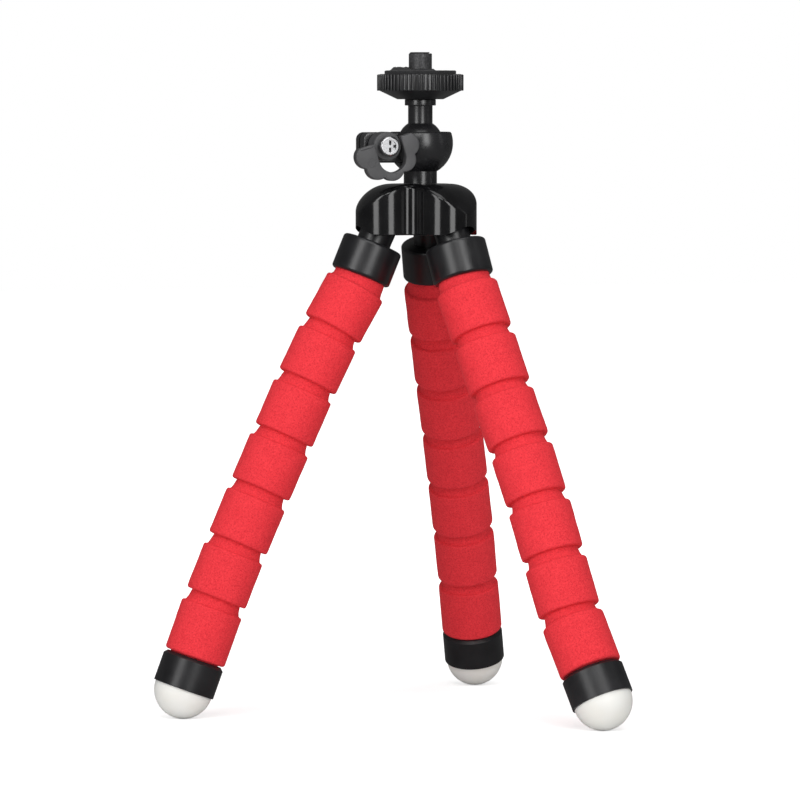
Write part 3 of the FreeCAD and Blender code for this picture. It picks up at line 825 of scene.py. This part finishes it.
@dataclass
class CameraSeat:
    """Camera screw, crumpled seat pad and ribbed locking disc, in millimetres."""

    pad_radius: float = 9.8
    pad_hole: float = 3.45
    pad_thickness: float = 1.04
    pad_sink: float = 0.08
    pad_waist: float = 0.5
    pad_edge: Point2 = (0.35, 0.16)
    pad_steps: int = 160
    pad_bands: int = 26
    lift_heading: float = math.radians(163.5)
    lift_height: float = 0.85
    lift_near: Point2 = (2.2, 3.4)
    lift_far: Point2 = (7.2, 8.4)
    lift_side: Point2 = (3.2, 5.6)
    squeeze_width: float = 0.9
    squeeze_height: float = 0.55
    ruck_scale: float = 0.9
    ruck_layer: float = 4.0
    crease_scale: float = 3.1
    crease_layer: float = 9.0
    lift_mix: Triple = (0.95, 0.25, 0.18)
    squeeze_mix: Point2 = (0.9, 0.2)
    surface_mix: Point2 = (0.05, 0.03)
    disc_top: float = -1.05
    disc_radius: float = 11.85
    disc_steps: int = 240
    rim_height: float = 4.6
    rim_round: float = 0.3
    rim_foot: Point2 = (0.1, 0.25)
    rim_foot_rounds: Point2 = (0.15, 0.1)
    cone_height: float = 2.3
    cone_radius: float = 6.3
    bore_radius: float = 3.225
    rib_depth: float = 0.65
    rib_count: int = 60
    rib_width: float = 0.66
    rib_sink: float = 0.05
    rib_margins: Point2 = (0.04, 0.1)

    def build(self, frame: dict, paints: Paints) -> None:
        """Make and place the seat's pieces.

        Args:
            paints: the tripod's materials.
        """
        dress(frame["nodes"]["camera_stud"], paints.screw)
        self._pad(paints)
        self._disc(paints)

    def _pad_height(self, angle: float, radius: float) -> float:
        """Height of the pad's top: squeezed up round the screw, with a lifted fold beside it.

        Args:
            angle: heading from the screw's axis, in radians.
            radius: distance from that axis.

        Returns:
            The height, in millimetres.
        """
        spot = Vector((radius * math.cos(angle), radius * math.sin(angle)))
        heading = Vector((math.cos(self.lift_heading), math.sin(self.lift_heading)))
        along = spot.dot(heading)
        across = abs(spot.x * heading.y - spot.y * heading.x)
        ruck = noise.noise(Vector((spot.x * self.ruck_scale, spot.y * self.ruck_scale, self.ruck_layer)))
        crease = noise.noise(Vector((spot.x * self.crease_scale, spot.y * self.crease_scale, self.crease_layer)))
        fold = smooth(*self.lift_near, along) * (1 - smooth(*self.lift_far, along))
        fold *= 1 - smooth(*self.lift_side, across)
        squeeze = self.squeeze_height * (1 - smooth(self.pad_hole, self.pad_hole + self.squeeze_width, radius))
        even, rucked, creased = self.lift_mix
        lift = self.lift_height * fold * (even + rucked * ruck + creased * crease)
        even, rucked = self.squeeze_mix
        top = max(lift, squeeze * (even + rucked * ruck)) - self.pad_sink
        rucked, creased = self.surface_mix
        return top + rucked * ruck + creased * crease

    def _pad(self, paints: Paints) -> None:
        """Thin round pad with a central hole, as one closed skin.

        Args:
            paints: the tripod's materials.
        """
        mesh = bmesh.new()
        rings: list[list[bmesh.types.BMVert]] = []
        angles = turn_angles(self.pad_steps)
        edge_width, edge_drop = self.pad_edge
        for band in range(self.pad_bands + 1):
            radius = self.pad_hole + (self.pad_radius - self.pad_hole) * band / self.pad_bands
            edge = edge_drop * smooth(self.pad_radius - edge_width, self.pad_radius, radius)
            rings.append([mesh.verts.new(upright(a, radius, self._pad_height(a, radius) - edge)) for a in angles])
        under = -self.pad_thickness
        for radius, height in ((self.pad_radius, -self.pad_waist), (self.pad_radius, under), (self.pad_hole, under)):
            rings.append([mesh.verts.new(upright(a, radius, height)) for a in angles])
        for low, high in zip(rings, rings[1:] + rings[:1]):
            join_rings(mesh, low, high)
        pad = finished("seat_pad_skin", mesh, paints.pad)
        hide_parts("seat_pad")
        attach(pad, "pad")
        LOG.info("pad made")

    def _disc(self, paints: Paints) -> None:
        """Disc body turned from a rounded profile, with its ribs set round the rim.

        Args:
            paints: the tripod's materials.
        """
        root = self.disc_radius - self.rib_depth
        low = self.disc_top - self.rim_height
        bottom = low - self.cone_height
        step_in, step_up = self.rim_foot
        low_round, high_round = self.rim_foot_rounds
        profile = rounded_path([
            (self.bore_radius, bottom, 0), (self.cone_radius, bottom, self.rim_round),
            (root - step_in, low, low_round), (root, low + step_up, high_round),
            (root, self.disc_top, self.rim_round), (self.bore_radius, self.disc_top, 0),
        ])
        mesh = bmesh.new()
        add_ring_lathe(mesh, profile, self.disc_steps)
        body = finished("disc_body", mesh, paints.disc)
        under, over = self.rib_margins
        ribs = RibRing(
            count=self.rib_count, radius=root - self.rib_sink, width=self.rib_width,
            depth=self.rib_depth + self.rib_sink, low=low + under, high=self.disc_top - over,
        )
        ring = ribs.build("disc_ribs", paints.disc)
        for piece in (body, ring):
            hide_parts("locking_disc")
            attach(piece, "disc")
        LOG.info("disc made with %d ribs", self.rib_count)


@dataclass
class RibRing:
    """Straight grip ribs round an upright rim, laid out by Geometry Nodes."""

    count: int
    radius: float
    width: float
    depth: float
    low: float
    high: float
    face_share: float = 0.86
    corner_round: float = 0.26
    corner_steps: int = 4
    low_end: Point2 = (0.12, 0.9)
    high_end: Point2 = (0.16, 0.55)
    least_scale: Triple = (0.93, 0.96, 1.0)
    most_scale: Triple = (1.0, 1.03, 1.0)
    seed: int = 7

    def _rib(self, material: bpy.types.Material) -> bpy.types.Object:
        """One rib: a bar along Z with a rounded face, its back at the origin, looking along +X.

        Args:
            material: the rib's material.

        Returns:
            The pattern rib, which the tree repeats.
        """
        half = self.width / 2
        face = half * self.face_share
        outline = rounded_path([
            (0.0, -half, 0), (self.depth, -face, self.corner_round),
            (self.depth, face, self.corner_round), (0.0, half, 0),
        ], self.corner_steps)
        (low_run, low_share), (high_run, high_share) = self.low_end, self.high_end
        low, high = self.low, self.high
        ends = ((low, low_share), (low + low_run, 1.0), (high - high_run, 1.0), (high, high_share))
        mesh = bmesh.new()
        rings = [[mesh.verts.new(Vector((x * share, y, z)) * MM) for x, y in outline] for z, share in ends]
        for lower, upper in zip(rings, rings[1:]):
            join_rings(mesh, lower, upper)
        mesh.faces.new(rings[0])
        mesh.faces.new(rings[-1])
        return finished("rib_pattern", mesh, material)

    def _tree(self, rib: bpy.types.Object) -> bpy.types.NodeTree:
        """Tree that sets the rib round a circle, each a hair different in depth and width.

        Args:
            rib: the pattern rib.

        Returns:
            The tree, with Count, Radius and Finish as its inputs.
        """
        tree = bpy.data.node_groups.new("rib_ring", "GeometryNodeTree")
        inputs = {"Geometry": "Geometry", "Count": "Int", "Radius": "Float", "Finish": "Material"}
        for title, kind in inputs.items():
            tree.interface.new_socket(title, in_out="INPUT", socket_type="NodeSocket" + kind)
        tree.interface.new_socket("Geometry", in_out="OUTPUT", socket_type="NodeSocketGeometry")
        board = Board(tree)
        given = tree.nodes.new("NodeGroupInput").outputs
        out = tree.nodes.new("NodeGroupOutput")
        circle = board.add("GeometryNodeMeshCircle", vertices=given["Count"], radius=given["Radius"])
        place = board.add("GeometryNodeInputPosition")
        parts = board.add("ShaderNodeSeparateXYZ", vector=place.outputs[0])
        angle = board.math("ARCTAN2", parts.outputs[1], parts.outputs[0])
        turn = board.add("ShaderNodeCombineXYZ", z=angle)
        pattern = board.add("GeometryNodeObjectInfo", object=rib)
        uneven = board.add("FunctionNodeRandomValue", data_type="FLOAT_VECTOR", seed=self.seed)
        uneven.inputs[0].default_value = self.least_scale
        uneven.inputs[1].default_value = self.most_scale
        spread = board.add(
            "GeometryNodeInstanceOnPoints", points=circle.outputs[0], instance=pattern.outputs["Geometry"],
            rotation=turn.outputs[0], scale=uneven.outputs[0],
        )
        real = board.add("GeometryNodeRealizeInstances", geometry=spread.outputs[0])
        paint = board.add("GeometryNodeSetMaterial", geometry=real.outputs[0], material=given["Finish"])
        board.put(paint.outputs[0], out.inputs[0])
        return tree

    def build(self, name: str, material: bpy.types.Material) -> bpy.types.Object:
        """Run the tree once and keep its result as a plain mesh.

        Args:
            name: the piece's name.
            material: the ribs' material.

        Returns:
            The finished ring of ribs.
        """
        rib = self._rib(material)
        tree = self._tree(rib)
        holder = linked(name + "_maker", bpy.data.meshes.new(name + "_maker"))
        maker = holder.modifiers.new("ribs", "NODES")
        maker.node_group = tree
        values = {"Count": self.count, "Radius": self.radius * MM, "Finish": material}
        for socket in tree.interface.items_tree:
            if socket.in_out == "INPUT" and socket.name in values:
                maker[socket.identifier] = values[socket.name]
        data = bpy.data.meshes.new_from_object(holder.evaluated_get(bpy.context.evaluated_depsgraph_get()))
        holder.modifiers.clear()
        for spare in (holder, rib):
            bpy.data.objects.remove(spare)
        data.name = name
        return linked(name, data)


# Head


@dataclass
class BallHead:
    """Ball and stem, socket, and the clamp with its half-flower knob, in millimetres."""

    ball_z: float = -19.717
    ball_radius: float = 6.2
    ball_bands: int = 40
    ball_steps: int = 128
    stem_radius: float = 3.35
    stem_lap: float = 0.02
    stem_fillet: float = 0.12
    flange_radius: float = 4.25
    flange_top: float = -7.96
    flange_height: float = 1.69
    flange_rounds: Point2 = (0.15, 0.2)
    stud_bore: float = 2.05
    clamp_x: float = -12.4
    clamp_drop: float = 0.9
    knob_turn: float = math.radians(16.3)
    knob_radius: float = 9.25
    flower_shift: Point2 = (-0.75, -0.2)
    flower_sweep: int = 116
    outline_step: float = 0.25
    lobe_radius: float = 3.3
    lobe_count: int = 5
    lobe_step: float = 40.7
    plate_back: float = 9.3
    plate_front: float = 12.5
    boss_radius: float = 3.9
    boss_back: float = 4.7
    boss_front: float = 10.6
    boss_rounds: Point2 = (0.2, 0.35)
    boss_steps: int = 72
    wing_rise: float = 1.65
    gap_half: float = 3.8
    gap_depth: float = 7.2
    gap_steps: int = 18
    bore: float = 1.6
    edge_round: float = 0.35
    moulding_marks: tuple[Corner, ...] = ((-5.9, -2.9, 1.2), (-0.9, -8.1, 0.8))
    mark_height: float = 0.06
    mark_half_width: float = 0.13
    mark_steps: int = 36
    roll_radius: float = 0.5
    roll_inset: float = 0.35
    roll_bands: int = 6
    roll_steps: int = 20

    def build(self, frame: dict, paints: Paints) -> None:
        """Make and place the head's pieces.

        Args:
            paints: the tripod's materials.
        """
        nodes = frame["nodes"]
        self._ball(paints)
        self._knob(paints)
        dress(nodes["ball_socket"], paints.head)
        dress(nodes["clamp_screw"], paints.chrome)
        dress(nodes["clamp_nut"], paints.zinc)
        dress(nodes["clamp_washer"], paints.zinc)

    def _ball(self, paints: Paints) -> None:
        """Ball, stem and flange as one turned piece.

        Args:
            paints: the tripod's materials.
        """
        join = math.asin(self.stem_radius / self.ball_radius)
        profile: list[Point2] = []
        for step in range(self.ball_bands + 1):
            angle = math.pi - (math.pi - join) * step / self.ball_bands
            profile.append((self.ball_radius * math.sin(angle), self.ball_z + self.ball_radius * math.cos(angle)))
        low = self.flange_top - self.flange_height
        low_round, top_round = self.flange_rounds
        profile += rounded_path([
            (self.stem_radius, profile[-1][1] + self.stem_lap, 0), (self.stem_radius, low, self.stem_fillet),
            (self.flange_radius, low, low_round), (self.flange_radius, self.flange_top, top_round),
            (self.stud_bore, self.flange_top, 0),
        ])
        mesh = bmesh.new()
        add_lathe(mesh, profile, self.ball_steps)
        ball = finished("ball_and_stem", mesh, paints.head)
        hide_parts("head_ball")
        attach(ball, "ball")
        LOG.info("ball made")

    def _lobe_reach(self, angle: float) -> float:
        """Radius of the flower's edge about its own middle, at an angle in degrees from its middle lobe.

        Args:
            angle: degrees from the middle lobe.

        Returns:
            The radius, in millimetres.
        """
        ring = self.knob_radius - self.lobe_radius
        reach = ring
        for index in range(self.lobe_count):
            off = math.radians(angle - (index - (self.lobe_count - 1) / 2) * self.lobe_step)
            inside = self.lobe_radius ** 2 - (ring * math.sin(off)) ** 2
            if inside > 0 and math.cos(off) > 0:
                reach = max(reach, ring * math.cos(off) + math.sqrt(inside))
        return reach

    def _flower(self) -> list[Point2]:
        """Plan outline of the knob's plate, with its middle lobe along -Y.

        Returns:
            The corners of the outline, in millimetres.
        """
        edge: list[Point2] = []
        for degrees in range(-self.flower_sweep, self.flower_sweep + 1):
            angle = math.radians(degrees - 90)
            reach = self._lobe_reach(degrees)
            spot = (self.flower_shift[0] + reach * math.cos(angle), self.flower_shift[1] + reach * math.sin(angle))
            if spot[1] <= self.wing_rise:
                edge.append(spot)
        left, right = edge[0], edge[-1]
        floor = -(self.gap_depth - self.gap_half)
        gap = [(self.gap_half, self.wing_rise)]
        for step in range(self.gap_steps + 1):
            angle = -math.pi * step / self.gap_steps
            gap.append((self.gap_half * math.cos(angle), floor + self.gap_half * math.sin(angle)))
        gap.append((-self.gap_half, self.wing_rise))
        return edge + [(right[0], self.wing_rise)] + gap + [(left[0], self.wing_rise)]

    def _clamp_place(self, x: float, y: float, out: float) -> Vector:
        """Point of the knob: x and y across it, out along the clamp's axis, in millimetres."""
        turned = Matrix.Rotation(self.knob_turn, 2) @ Vector((x, y))
        return Vector((self.clamp_x + turned.x, -out, self.ball_z - self.clamp_drop + turned.y)) * MM

    def _clamp_ring(self, mesh: bmesh.types.BMesh, profile: list[Point2], steps: int, x: float, y: float) -> None:
        """Ring on the knob, turned about an axis through x and y.

        Args:
            mesh: the mesh that gets the ring.
            profile: (radius, way out) of each station.
            steps: number of steps round.
            x: the axis's place across the knob.
            y: the axis's place up the knob.
        """

        def at(angle: float, radius: float, out: float) -> Vector:
            """Point of the ring."""
            return self._clamp_place(x + radius * math.cos(angle), y + radius * math.sin(angle), out)

        add_ring_lathe(mesh, profile, steps, at)

    def _mark(self, mesh: bmesh.types.BMesh, x: float, y: float, radius: float) -> None:
        """Faint raised ring that moulding left on the plate's face.

        Args:
            mesh: the mesh that gets the ring.
            x: the ring's middle across the knob.
            y: the ring's middle up the knob.
            radius: the ring's radius.
        """
        face, low = self.plate_front + self.mark_height, self.plate_front - self.mark_height
        half = self.mark_half_width
        profile = [(radius - half, low), (radius - half / 2, face), (radius + half / 2, face), (radius + half, low)]
        self._clamp_ring(mesh, profile, self.mark_steps, x, y)

    def _roll(self, mesh: bmesh.types.BMesh, tip: float) -> None:
        """Rolled edge along the top of the left wing, from its tip to the gap.

        Args:
            mesh: the mesh that gets the roll.
            tip: place of the wing's tip across the knob.
        """
        start, end = tip + self.roll_radius, -self.gap_half - self.roll_radius
        dome = [(0.0, start)]
        for step in range(1, self.roll_bands + 1):
            angle = math.pi / 2 * step / self.roll_bands
            dome.append((self.roll_radius * math.sin(angle), start + self.roll_radius * (1 - math.cos(angle))))
        profile = dome + [(radius, start + end - along) for radius, along in reversed(dome)]
        y, out = self.wing_rise - self.roll_inset, self.plate_front - self.roll_inset

        def at(angle: float, radius: float, along: float) -> Vector:
            """Point of the roll, which lies along x."""
            return self._clamp_place(along, y + radius * math.cos(angle), out + radius * math.sin(angle))

        add_lathe(mesh, profile, self.roll_steps, at)

    def _knob(self, paints: Paints) -> None:
        """Knob: the flower plate with rounded edges, on a round boss, with its marks and rolled edge.

        Args:
            paints: the tripod's materials.
        """
        mesh = bmesh.new()
        outline = even_outline(self._flower(), self.outline_step)
        add_slab(mesh, outline, self.plate_back, self.plate_front, self.edge_round, self._clamp_place)
        back_round, front_round = self.boss_rounds
        profile = rounded_path([
            (self.bore, self.boss_back, 0), (self.boss_radius, self.boss_back, back_round),
            (self.boss_radius, self.boss_front, front_round), (self.bore, self.boss_front, 0),
        ])
        self._clamp_ring(mesh, profile, self.boss_steps, 0.0, 0.0)
        for x, y, radius in self.moulding_marks:
            self._mark(mesh, x, y, radius)
        self._roll(mesh, min(x for x, y in outline if y > self.wing_rise - self.edge_round))
        knob = finished("clamp_knob_flower", mesh, paints.knob)
        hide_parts("clamp_knob")
        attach(knob, "knob")
        LOG.info("knob made")


# Hub


@dataclass
class Hub:
    """Three-lobed hub cover with its screw and washer."""

    def build(self, frame: dict, paints: Paints) -> None:
        """Dress the hub's solids.

        Args:
            paints: the tripod's materials.
        """
        nodes = frame["nodes"]
        dress(nodes["hub_cover"], paints.hub)
        dress(nodes["hub_screw"], paints.zinc)
        dress(nodes["hub_washer"], paints.zinc)


# Legs


@dataclass
class FoamLeg:
    """One leg: collar, foam sleeve in pieces that bend at each groove, core wire, end cap and foot.

    The lip and neck corners are set from the groove's edge: offset of the radius, offset up the leg, rounding.
    """

    name: str
    foam_radius: float = 8.55
    neck_radius: float = 7.15
    grooves: int = 7
    pitch: float = 16.0
    half_groove: float = 1.5
    waist: float = 0.03
    lip_round: float = 1.25
    upper_lip: tuple[Corner, ...] = ((-0.02, 1.2, 3.0), (-0.08, 0.0, lip_round))
    upper_neck: tuple[Corner, ...] = ((-0.25, -0.05, 0.12), (-0.15, -0.45, 0.4))
    lower_neck: tuple[Corner, ...] = ((0.1, 1.2, 1.5), (0.45, 0.15, 0.5))
    lower_lip: tuple[Corner, ...] = ((-0.02, -0.1, 1.15), (0.0, -2.2, 3.0))
    plug: Point2 = (0.35, 3.0)
    last_length: float = 14.2
    last_waist: float = 0.05
    tail_radius: float = 6.8
    tail_length: float = 5.2
    tail_round: float = 0.2
    station_step: float = 0.55
    corner_steps: int = 6
    segments: int = 96
    wave_depth: float = 2.0
    wave_fade: Point2 = (2.5, 0.2)
    waves: tuple[Point2, ...] = ((160.0, 0.10), (620.0, 0.045))
    wire_radius: float = 1.5
    wire_top: float = 9.0
    wire_end: float = 22.5
    wire_stations: tuple[float, ...] = (3.0, 1.5, 0.75, 0.0, -0.75, -1.5, -3.0)
    wire_segments: int = 20
    bend_half: float = 1.5
    joints: list[Vector] = field(default_factory=list)

    def build(self, frame: dict, paints: Paints) -> None:
        """Make and place the leg's pieces.

        Args:
            paints: the tripod's materials.
        """
        self._read_joints(frame)
        for index in range(1, self.grooves + 1):
            self._sleeve(index, paints)
            self._wire(index, paints)
        nodes = frame["nodes"]
        dress(nodes[f"leg_{self.name}_cap"], paints.collar)
        dress(nodes[f"leg_{self.name}_end_cap"], paints.cap)
        dress(nodes[f"leg_{self.name}_foot"], paints.foot)
        LOG.info("leg %s made", self.name)

    def _read_joints(self, frame: dict) -> None:
        """Pivot, groove centres and the middle of the foot, in millimetres.
        """
        spots = {joint["name"]: joint.get("pos_m") for joint in frame["joints"]}
        names = [f"leg_{self.name}_fold", f"leg_{self.name}_bend"]
        names += [f"leg_{self.name}_bend_{number}" for number in range(2, self.grooves + 1)]
        self.joints = [Vector(spots[name]) / MM for name in names]
        foot = frame["nodes"][f"leg_{self.name}_foot"].data.vertices
        middle = sum((vertex.co for vertex in foot), Vector()) / len(foot)
        self.joints.append(middle / MM)

    def _is_last(self, index: int) -> bool:
        """Whether a groove is the leg's lowest."""
        return index == self.grooves

    def _axis(self, index: int) -> Vector:
        """Unit direction up the leg between two neighbouring joints."""
        return (self.joints[index] - self.joints[index + 1]).normalized()

    def _place(self, index: int) -> Placer:
        """Placer for the piece that bends at a groove: heights count up from the groove's centre.

        Args:
            index: the groove's number, counted from the hub.

        Returns:
            The placer.
        """
        hinge = self.joints[index]
        upper, lower = self._axis(index - 1), self._axis(index)
        side = Vector((0, 0, 1)).cross(Vector((hinge.x, hinge.y, 0)).normalized())
        swing = math.atan2(upper.cross(lower).dot(side), upper.dot(lower))

        def at(angle: float, radius: float, height: float) -> Vector:
            """Point of the bent piece.

            Args:
                angle: angle round the leg.
                radius: distance from the leg's axis.
                height: distance up the leg from the groove's centre.

            Returns:
                The point, in metres.
            """
            share = smooth(-self.bend_half, self.bend_half, -height)
            axis = Matrix.Rotation(swing * share, 3, side) @ upper
            front = side.cross(axis)
            return (hinge + axis * height + (front * math.cos(angle) + side * math.sin(angle)) * radius) * MM

        return at

    def _profile(self, index: int) -> list[Point2]:
        """Sleeve profile round one groove, from the middle of one segment to the middle of the next.

        Args:
            index: the groove's number, counted from the hub.

        Returns:
            (radius, height) of each station, in millimetres.
        """
        groove, neck, outer = self.half_groove, self.neck_radius, self.foam_radius
        half = self.pitch / 2
        path = [(outer - self.waist, half, 0.0)]
        path += shifted(self.upper_lip, outer, groove) + shifted(self.upper_neck, neck, groove)
        if index == 1:
            path = [(neck - self.plug[0], groove + self.plug[1], 0.0)]
        path += shifted(self.lower_neck, neck, -groove) + shifted(self.lower_lip, outer, -groove)
        if self._is_last(index):
            bottom = -groove - self.last_length
            path += [(outer - self.last_waist, bottom, self.lip_round), (self.tail_radius, bottom, self.tail_round)]
            path += [(self.tail_radius, bottom - self.tail_length, 0.0)]
        else:
            path += [(outer - self.waist, -half, 0.0)]
        corners = rounded_path(path, self.corner_steps)
        dense: list[Point2] = []
        for (r1, h1), (r2, h2) in zip(corners, corners[1:]):
            parts = max(1, round(math.hypot(r2 - r1, h2 - h1) / self.station_step))
            dense += [(r1 + (r2 - r1) * part / parts, h1 + (h2 - h1) * part / parts) for part in range(parts)]
        return dense + [corners[-1]]

    def _sleeve(self, index: int, paints: Paints) -> None:
        """Foam piece that bends at one groove.

        Args:
            index: the groove's number, counted from the hub.
            paints: the tripod's materials.
        """
        place = self._place(index)
        fade_start, fade_end = (self.pitch / 2 - short for short in self.wave_fade)

        def uneven(angle: float, radius: float, height: float) -> Vector:
            """Point of the sleeve with the slight waviness of cut foam, fading out at the piece's ends.

            Args:
                angle: angle round the leg.
                radius: distance from the leg's axis.
                height: distance up the leg from the groove's centre.

            Returns:
                The point, in metres.
            """
            spot = place(angle, radius, height)
            if radius < self.foam_radius - self.wave_depth:
                return spot
            wave = sum(noise.noise(spot * scale) * rise for scale, rise in self.waves)
            return place(angle, radius + wave * (1 - smooth(fade_start, fade_end, abs(height))), height)

        mesh = bmesh.new()
        add_lathe(mesh, self._profile(index), self.segments, uneven)
        sleeve = finished(f"leg_{self.name}_sleeve_{index}", mesh, paints.foam)
        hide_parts(f"leg_{self.name}_foam_{index}")
        self._bend_with(sleeve)

    def _bend_with(self, piece: bpy.types.Object) -> None:
        """Bake a piece's placement into its mesh.

        Args:
            piece: the piece.
        """
        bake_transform(piece)

    def _wire(self, index: int, paints: Paints) -> None:
        """Piece of the core wire that bends at one groove.

        Args:
            index: the groove's number, counted from the hub.
            paints: the tripod's materials.
        """
        top = self.wire_top if index == 1 else self.pitch / 2
        bottom = -self.wire_end if self._is_last(index) else -self.pitch / 2
        mesh = bmesh.new()
        profile = [(self.wire_radius, height) for height in (top, *self.wire_stations, bottom)]
        add_lathe(mesh, profile, self.wire_segments, self._place(index))
        wire = finished(f"leg_{self.name}_core_{index}", mesh, paints.wire)
        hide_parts(f"leg_{self.name}_wire")
        self._bend_with(wire)


# Studio


@dataclass(frozen=True)
class Softbox:
    """One soft rectangular lamp: degrees from the camera's heading, metres and watts."""

    name: str
    heading: float
    distance: float
    height: float
    width: float
    tall: float
    watts: float


@dataclass
class Studio:
    """Pale floor, white surroundings, soft lamps and the camera at the photograph's view."""

    floor_z: float
    floor_half: float = 3.0
    floor_colour: Colour = (0.86, 0.86, 0.86)
    floor_roughness: float = 0.9
    mirrored_floor: Colour = (0.2, 0.2, 0.2)
    clear_radii: Point2 = (0.12, 0.42)
    clear_lift: Point2 = (0.42, 1.0)
    surround: float = 0.32
    mirrored_surround: float = 0.1
    camera_heading: float = math.radians(16.5)
    camera_distance: float = 1.49
    camera_z: float = -0.0039
    pitch: float = math.radians(3.320)
    yaw: float = math.radians(0.2138)
    lens: float = 244.8
    sensor: float = 36.0
    clip_start: float = 0.05
    lamp_target: Triple = (0.0, 0.0, -0.07)
    boxes: tuple[Softbox, ...] = (
        Softbox("left_softbox", -36.0, 1.2, 0.22, 0.44, 1.1, 6.0),
        Softbox("right_softbox", 22.0, 1.2, 0.22, 0.42, 1.1, 6.2),
        Softbox("front_softbox", -6.0, 1.5, 1.0, 0.5, 0.4, 3.5),
        Softbox("right_edge_strip", 80.0, 1.2, 0.22, 0.06, 1.1, 0.3),
        Softbox("top_softbox", 8.0, 0.4, 1.1, 0.9, 0.9, 4.5),
    )

    def build(self) -> None:
        """Make the studio."""
        self._floor()
        self._world()
        for box in self.boxes:
            self._lamp(box)
        self._camera()
        bpy.context.scene.view_settings.view_transform = "Standard"
        LOG.info("studio made")

    def _floor(self) -> None:
        """Wide pale floor under the feet, white where the camera sees it unshaded."""
        mesh = bmesh.new()
        half = self.floor_half
        square = ((-half, -half), (half, -half), (half, half), (-half, half))
        mesh.faces.new([mesh.verts.new((x, y, self.floor_z)) for x, y in square])
        material, board, shader, place = new_material("pale_floor")
        light = board.add("ShaderNodeLightPath")
        seen = board.blend(light.outputs["Is Glossy Ray"], self.floor_colour, self.mirrored_floor)
        board.put(seen, shader.inputs["Base Color"])
        shader.inputs["Roughness"].default_value = self.floor_roughness
        shader.inputs["Specular IOR Level"].default_value = 0.0
        shader.inputs["Emission Color"].default_value = WHITE
        distance = board.add("ShaderNodeVectorMath", operation="LENGTH")
        board.put(place, distance.inputs[0])
        lift = board.span(distance.outputs["Value"], *self.clear_radii, *self.clear_lift)
        board.put(board.math("MULTIPLY", light.outputs["Is Camera Ray"], lift), shader.inputs["Emission Strength"])
        finished("floor", mesh, material)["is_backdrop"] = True

    def _world(self) -> None:
        """Even surroundings: white to the camera and through clear pieces, dimmer in reflections and as light."""
        world = bpy.data.worlds.new("surround")
        bpy.context.scene.world = world
        world.use_nodes = True
        board = Board(world.node_tree)
        background = world.node_tree.nodes["Background"]
        light = board.add("ShaderNodeLightPath").outputs
        seen = board.math("MAXIMUM", light["Is Camera Ray"], light["Is Transmission Ray"])
        unseen = board.math("SUBTRACT", 1.0, seen)
        glossy = board.math("MULTIPLY", light["Is Glossy Ray"], unseen)
        diffuse = board.math("SUBTRACT", unseen, glossy)
        mirrored = board.math("MULTIPLY", glossy, self.mirrored_surround)
        lighting = board.math("MULTIPLY", diffuse, self.surround)
        strength = board.math("ADD", seen, board.math("ADD", mirrored, lighting))
        background.inputs["Color"].default_value = WHITE
        board.put(strength, background.inputs["Strength"])

    def _lamp(self, box: Softbox) -> None:
        """Rectangular area lamp aimed at the tripod's middle.

        Args:
            box: the lamp's sizes and place.
        """
        lamp = bpy.data.lights.new(box.name, "AREA")
        lamp.shape = "RECTANGLE"
        lamp.size = box.width
        lamp.size_y = box.tall
        lamp.energy = box.watts
        heading = self.camera_heading - math.radians(box.heading)
        spot = Vector((-math.sin(heading) * box.distance, -math.cos(heading) * box.distance, box.height))
        holder = linked(box.name, lamp)
        holder.rotation_euler = (Vector(self.lamp_target) - spot).to_track_quat("-Z", "Y").to_euler()
        holder.location = spot

    def _camera(self) -> None:
        """Camera at the photograph's viewing angle."""
        data = bpy.data.cameras.new("camera")
        data.sensor_width = self.sensor
        data.lens = self.lens
        data.clip_start = self.clip_start
        holder = linked("camera", data)
        back, distance = self.camera_heading, self.camera_distance
        holder.location = (-math.sin(back) * distance, -math.cos(back) * distance, self.camera_z)
        heading = back - self.yaw
        level = math.cos(self.pitch)
        aim = Vector((math.sin(heading) * level, math.cos(heading) * level, -math.sin(self.pitch)))
        holder.rotation_euler = aim.to_track_quat("-Z", "Y").to_euler()
        bpy.context.scene.camera = holder


def main() -> None:
    """Build every part of the tripod in order, then the studio."""
    logging.basicConfig(level=logging.INFO, format="%(name)s: %(message)s")
    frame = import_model()
    cad_box = [list(corner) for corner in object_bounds()]
    paints = Paints()
    CameraSeat().build(frame, paints)
    BallHead().build(frame, paints)
    Hub().build(frame, paints)
    for name in ("a", "b", "c"):
        FoamLeg(name).build(frame, paints)
    Studio(floor_z=cad_box[0][2]).build()


if __name__ == "__main__":
    main()
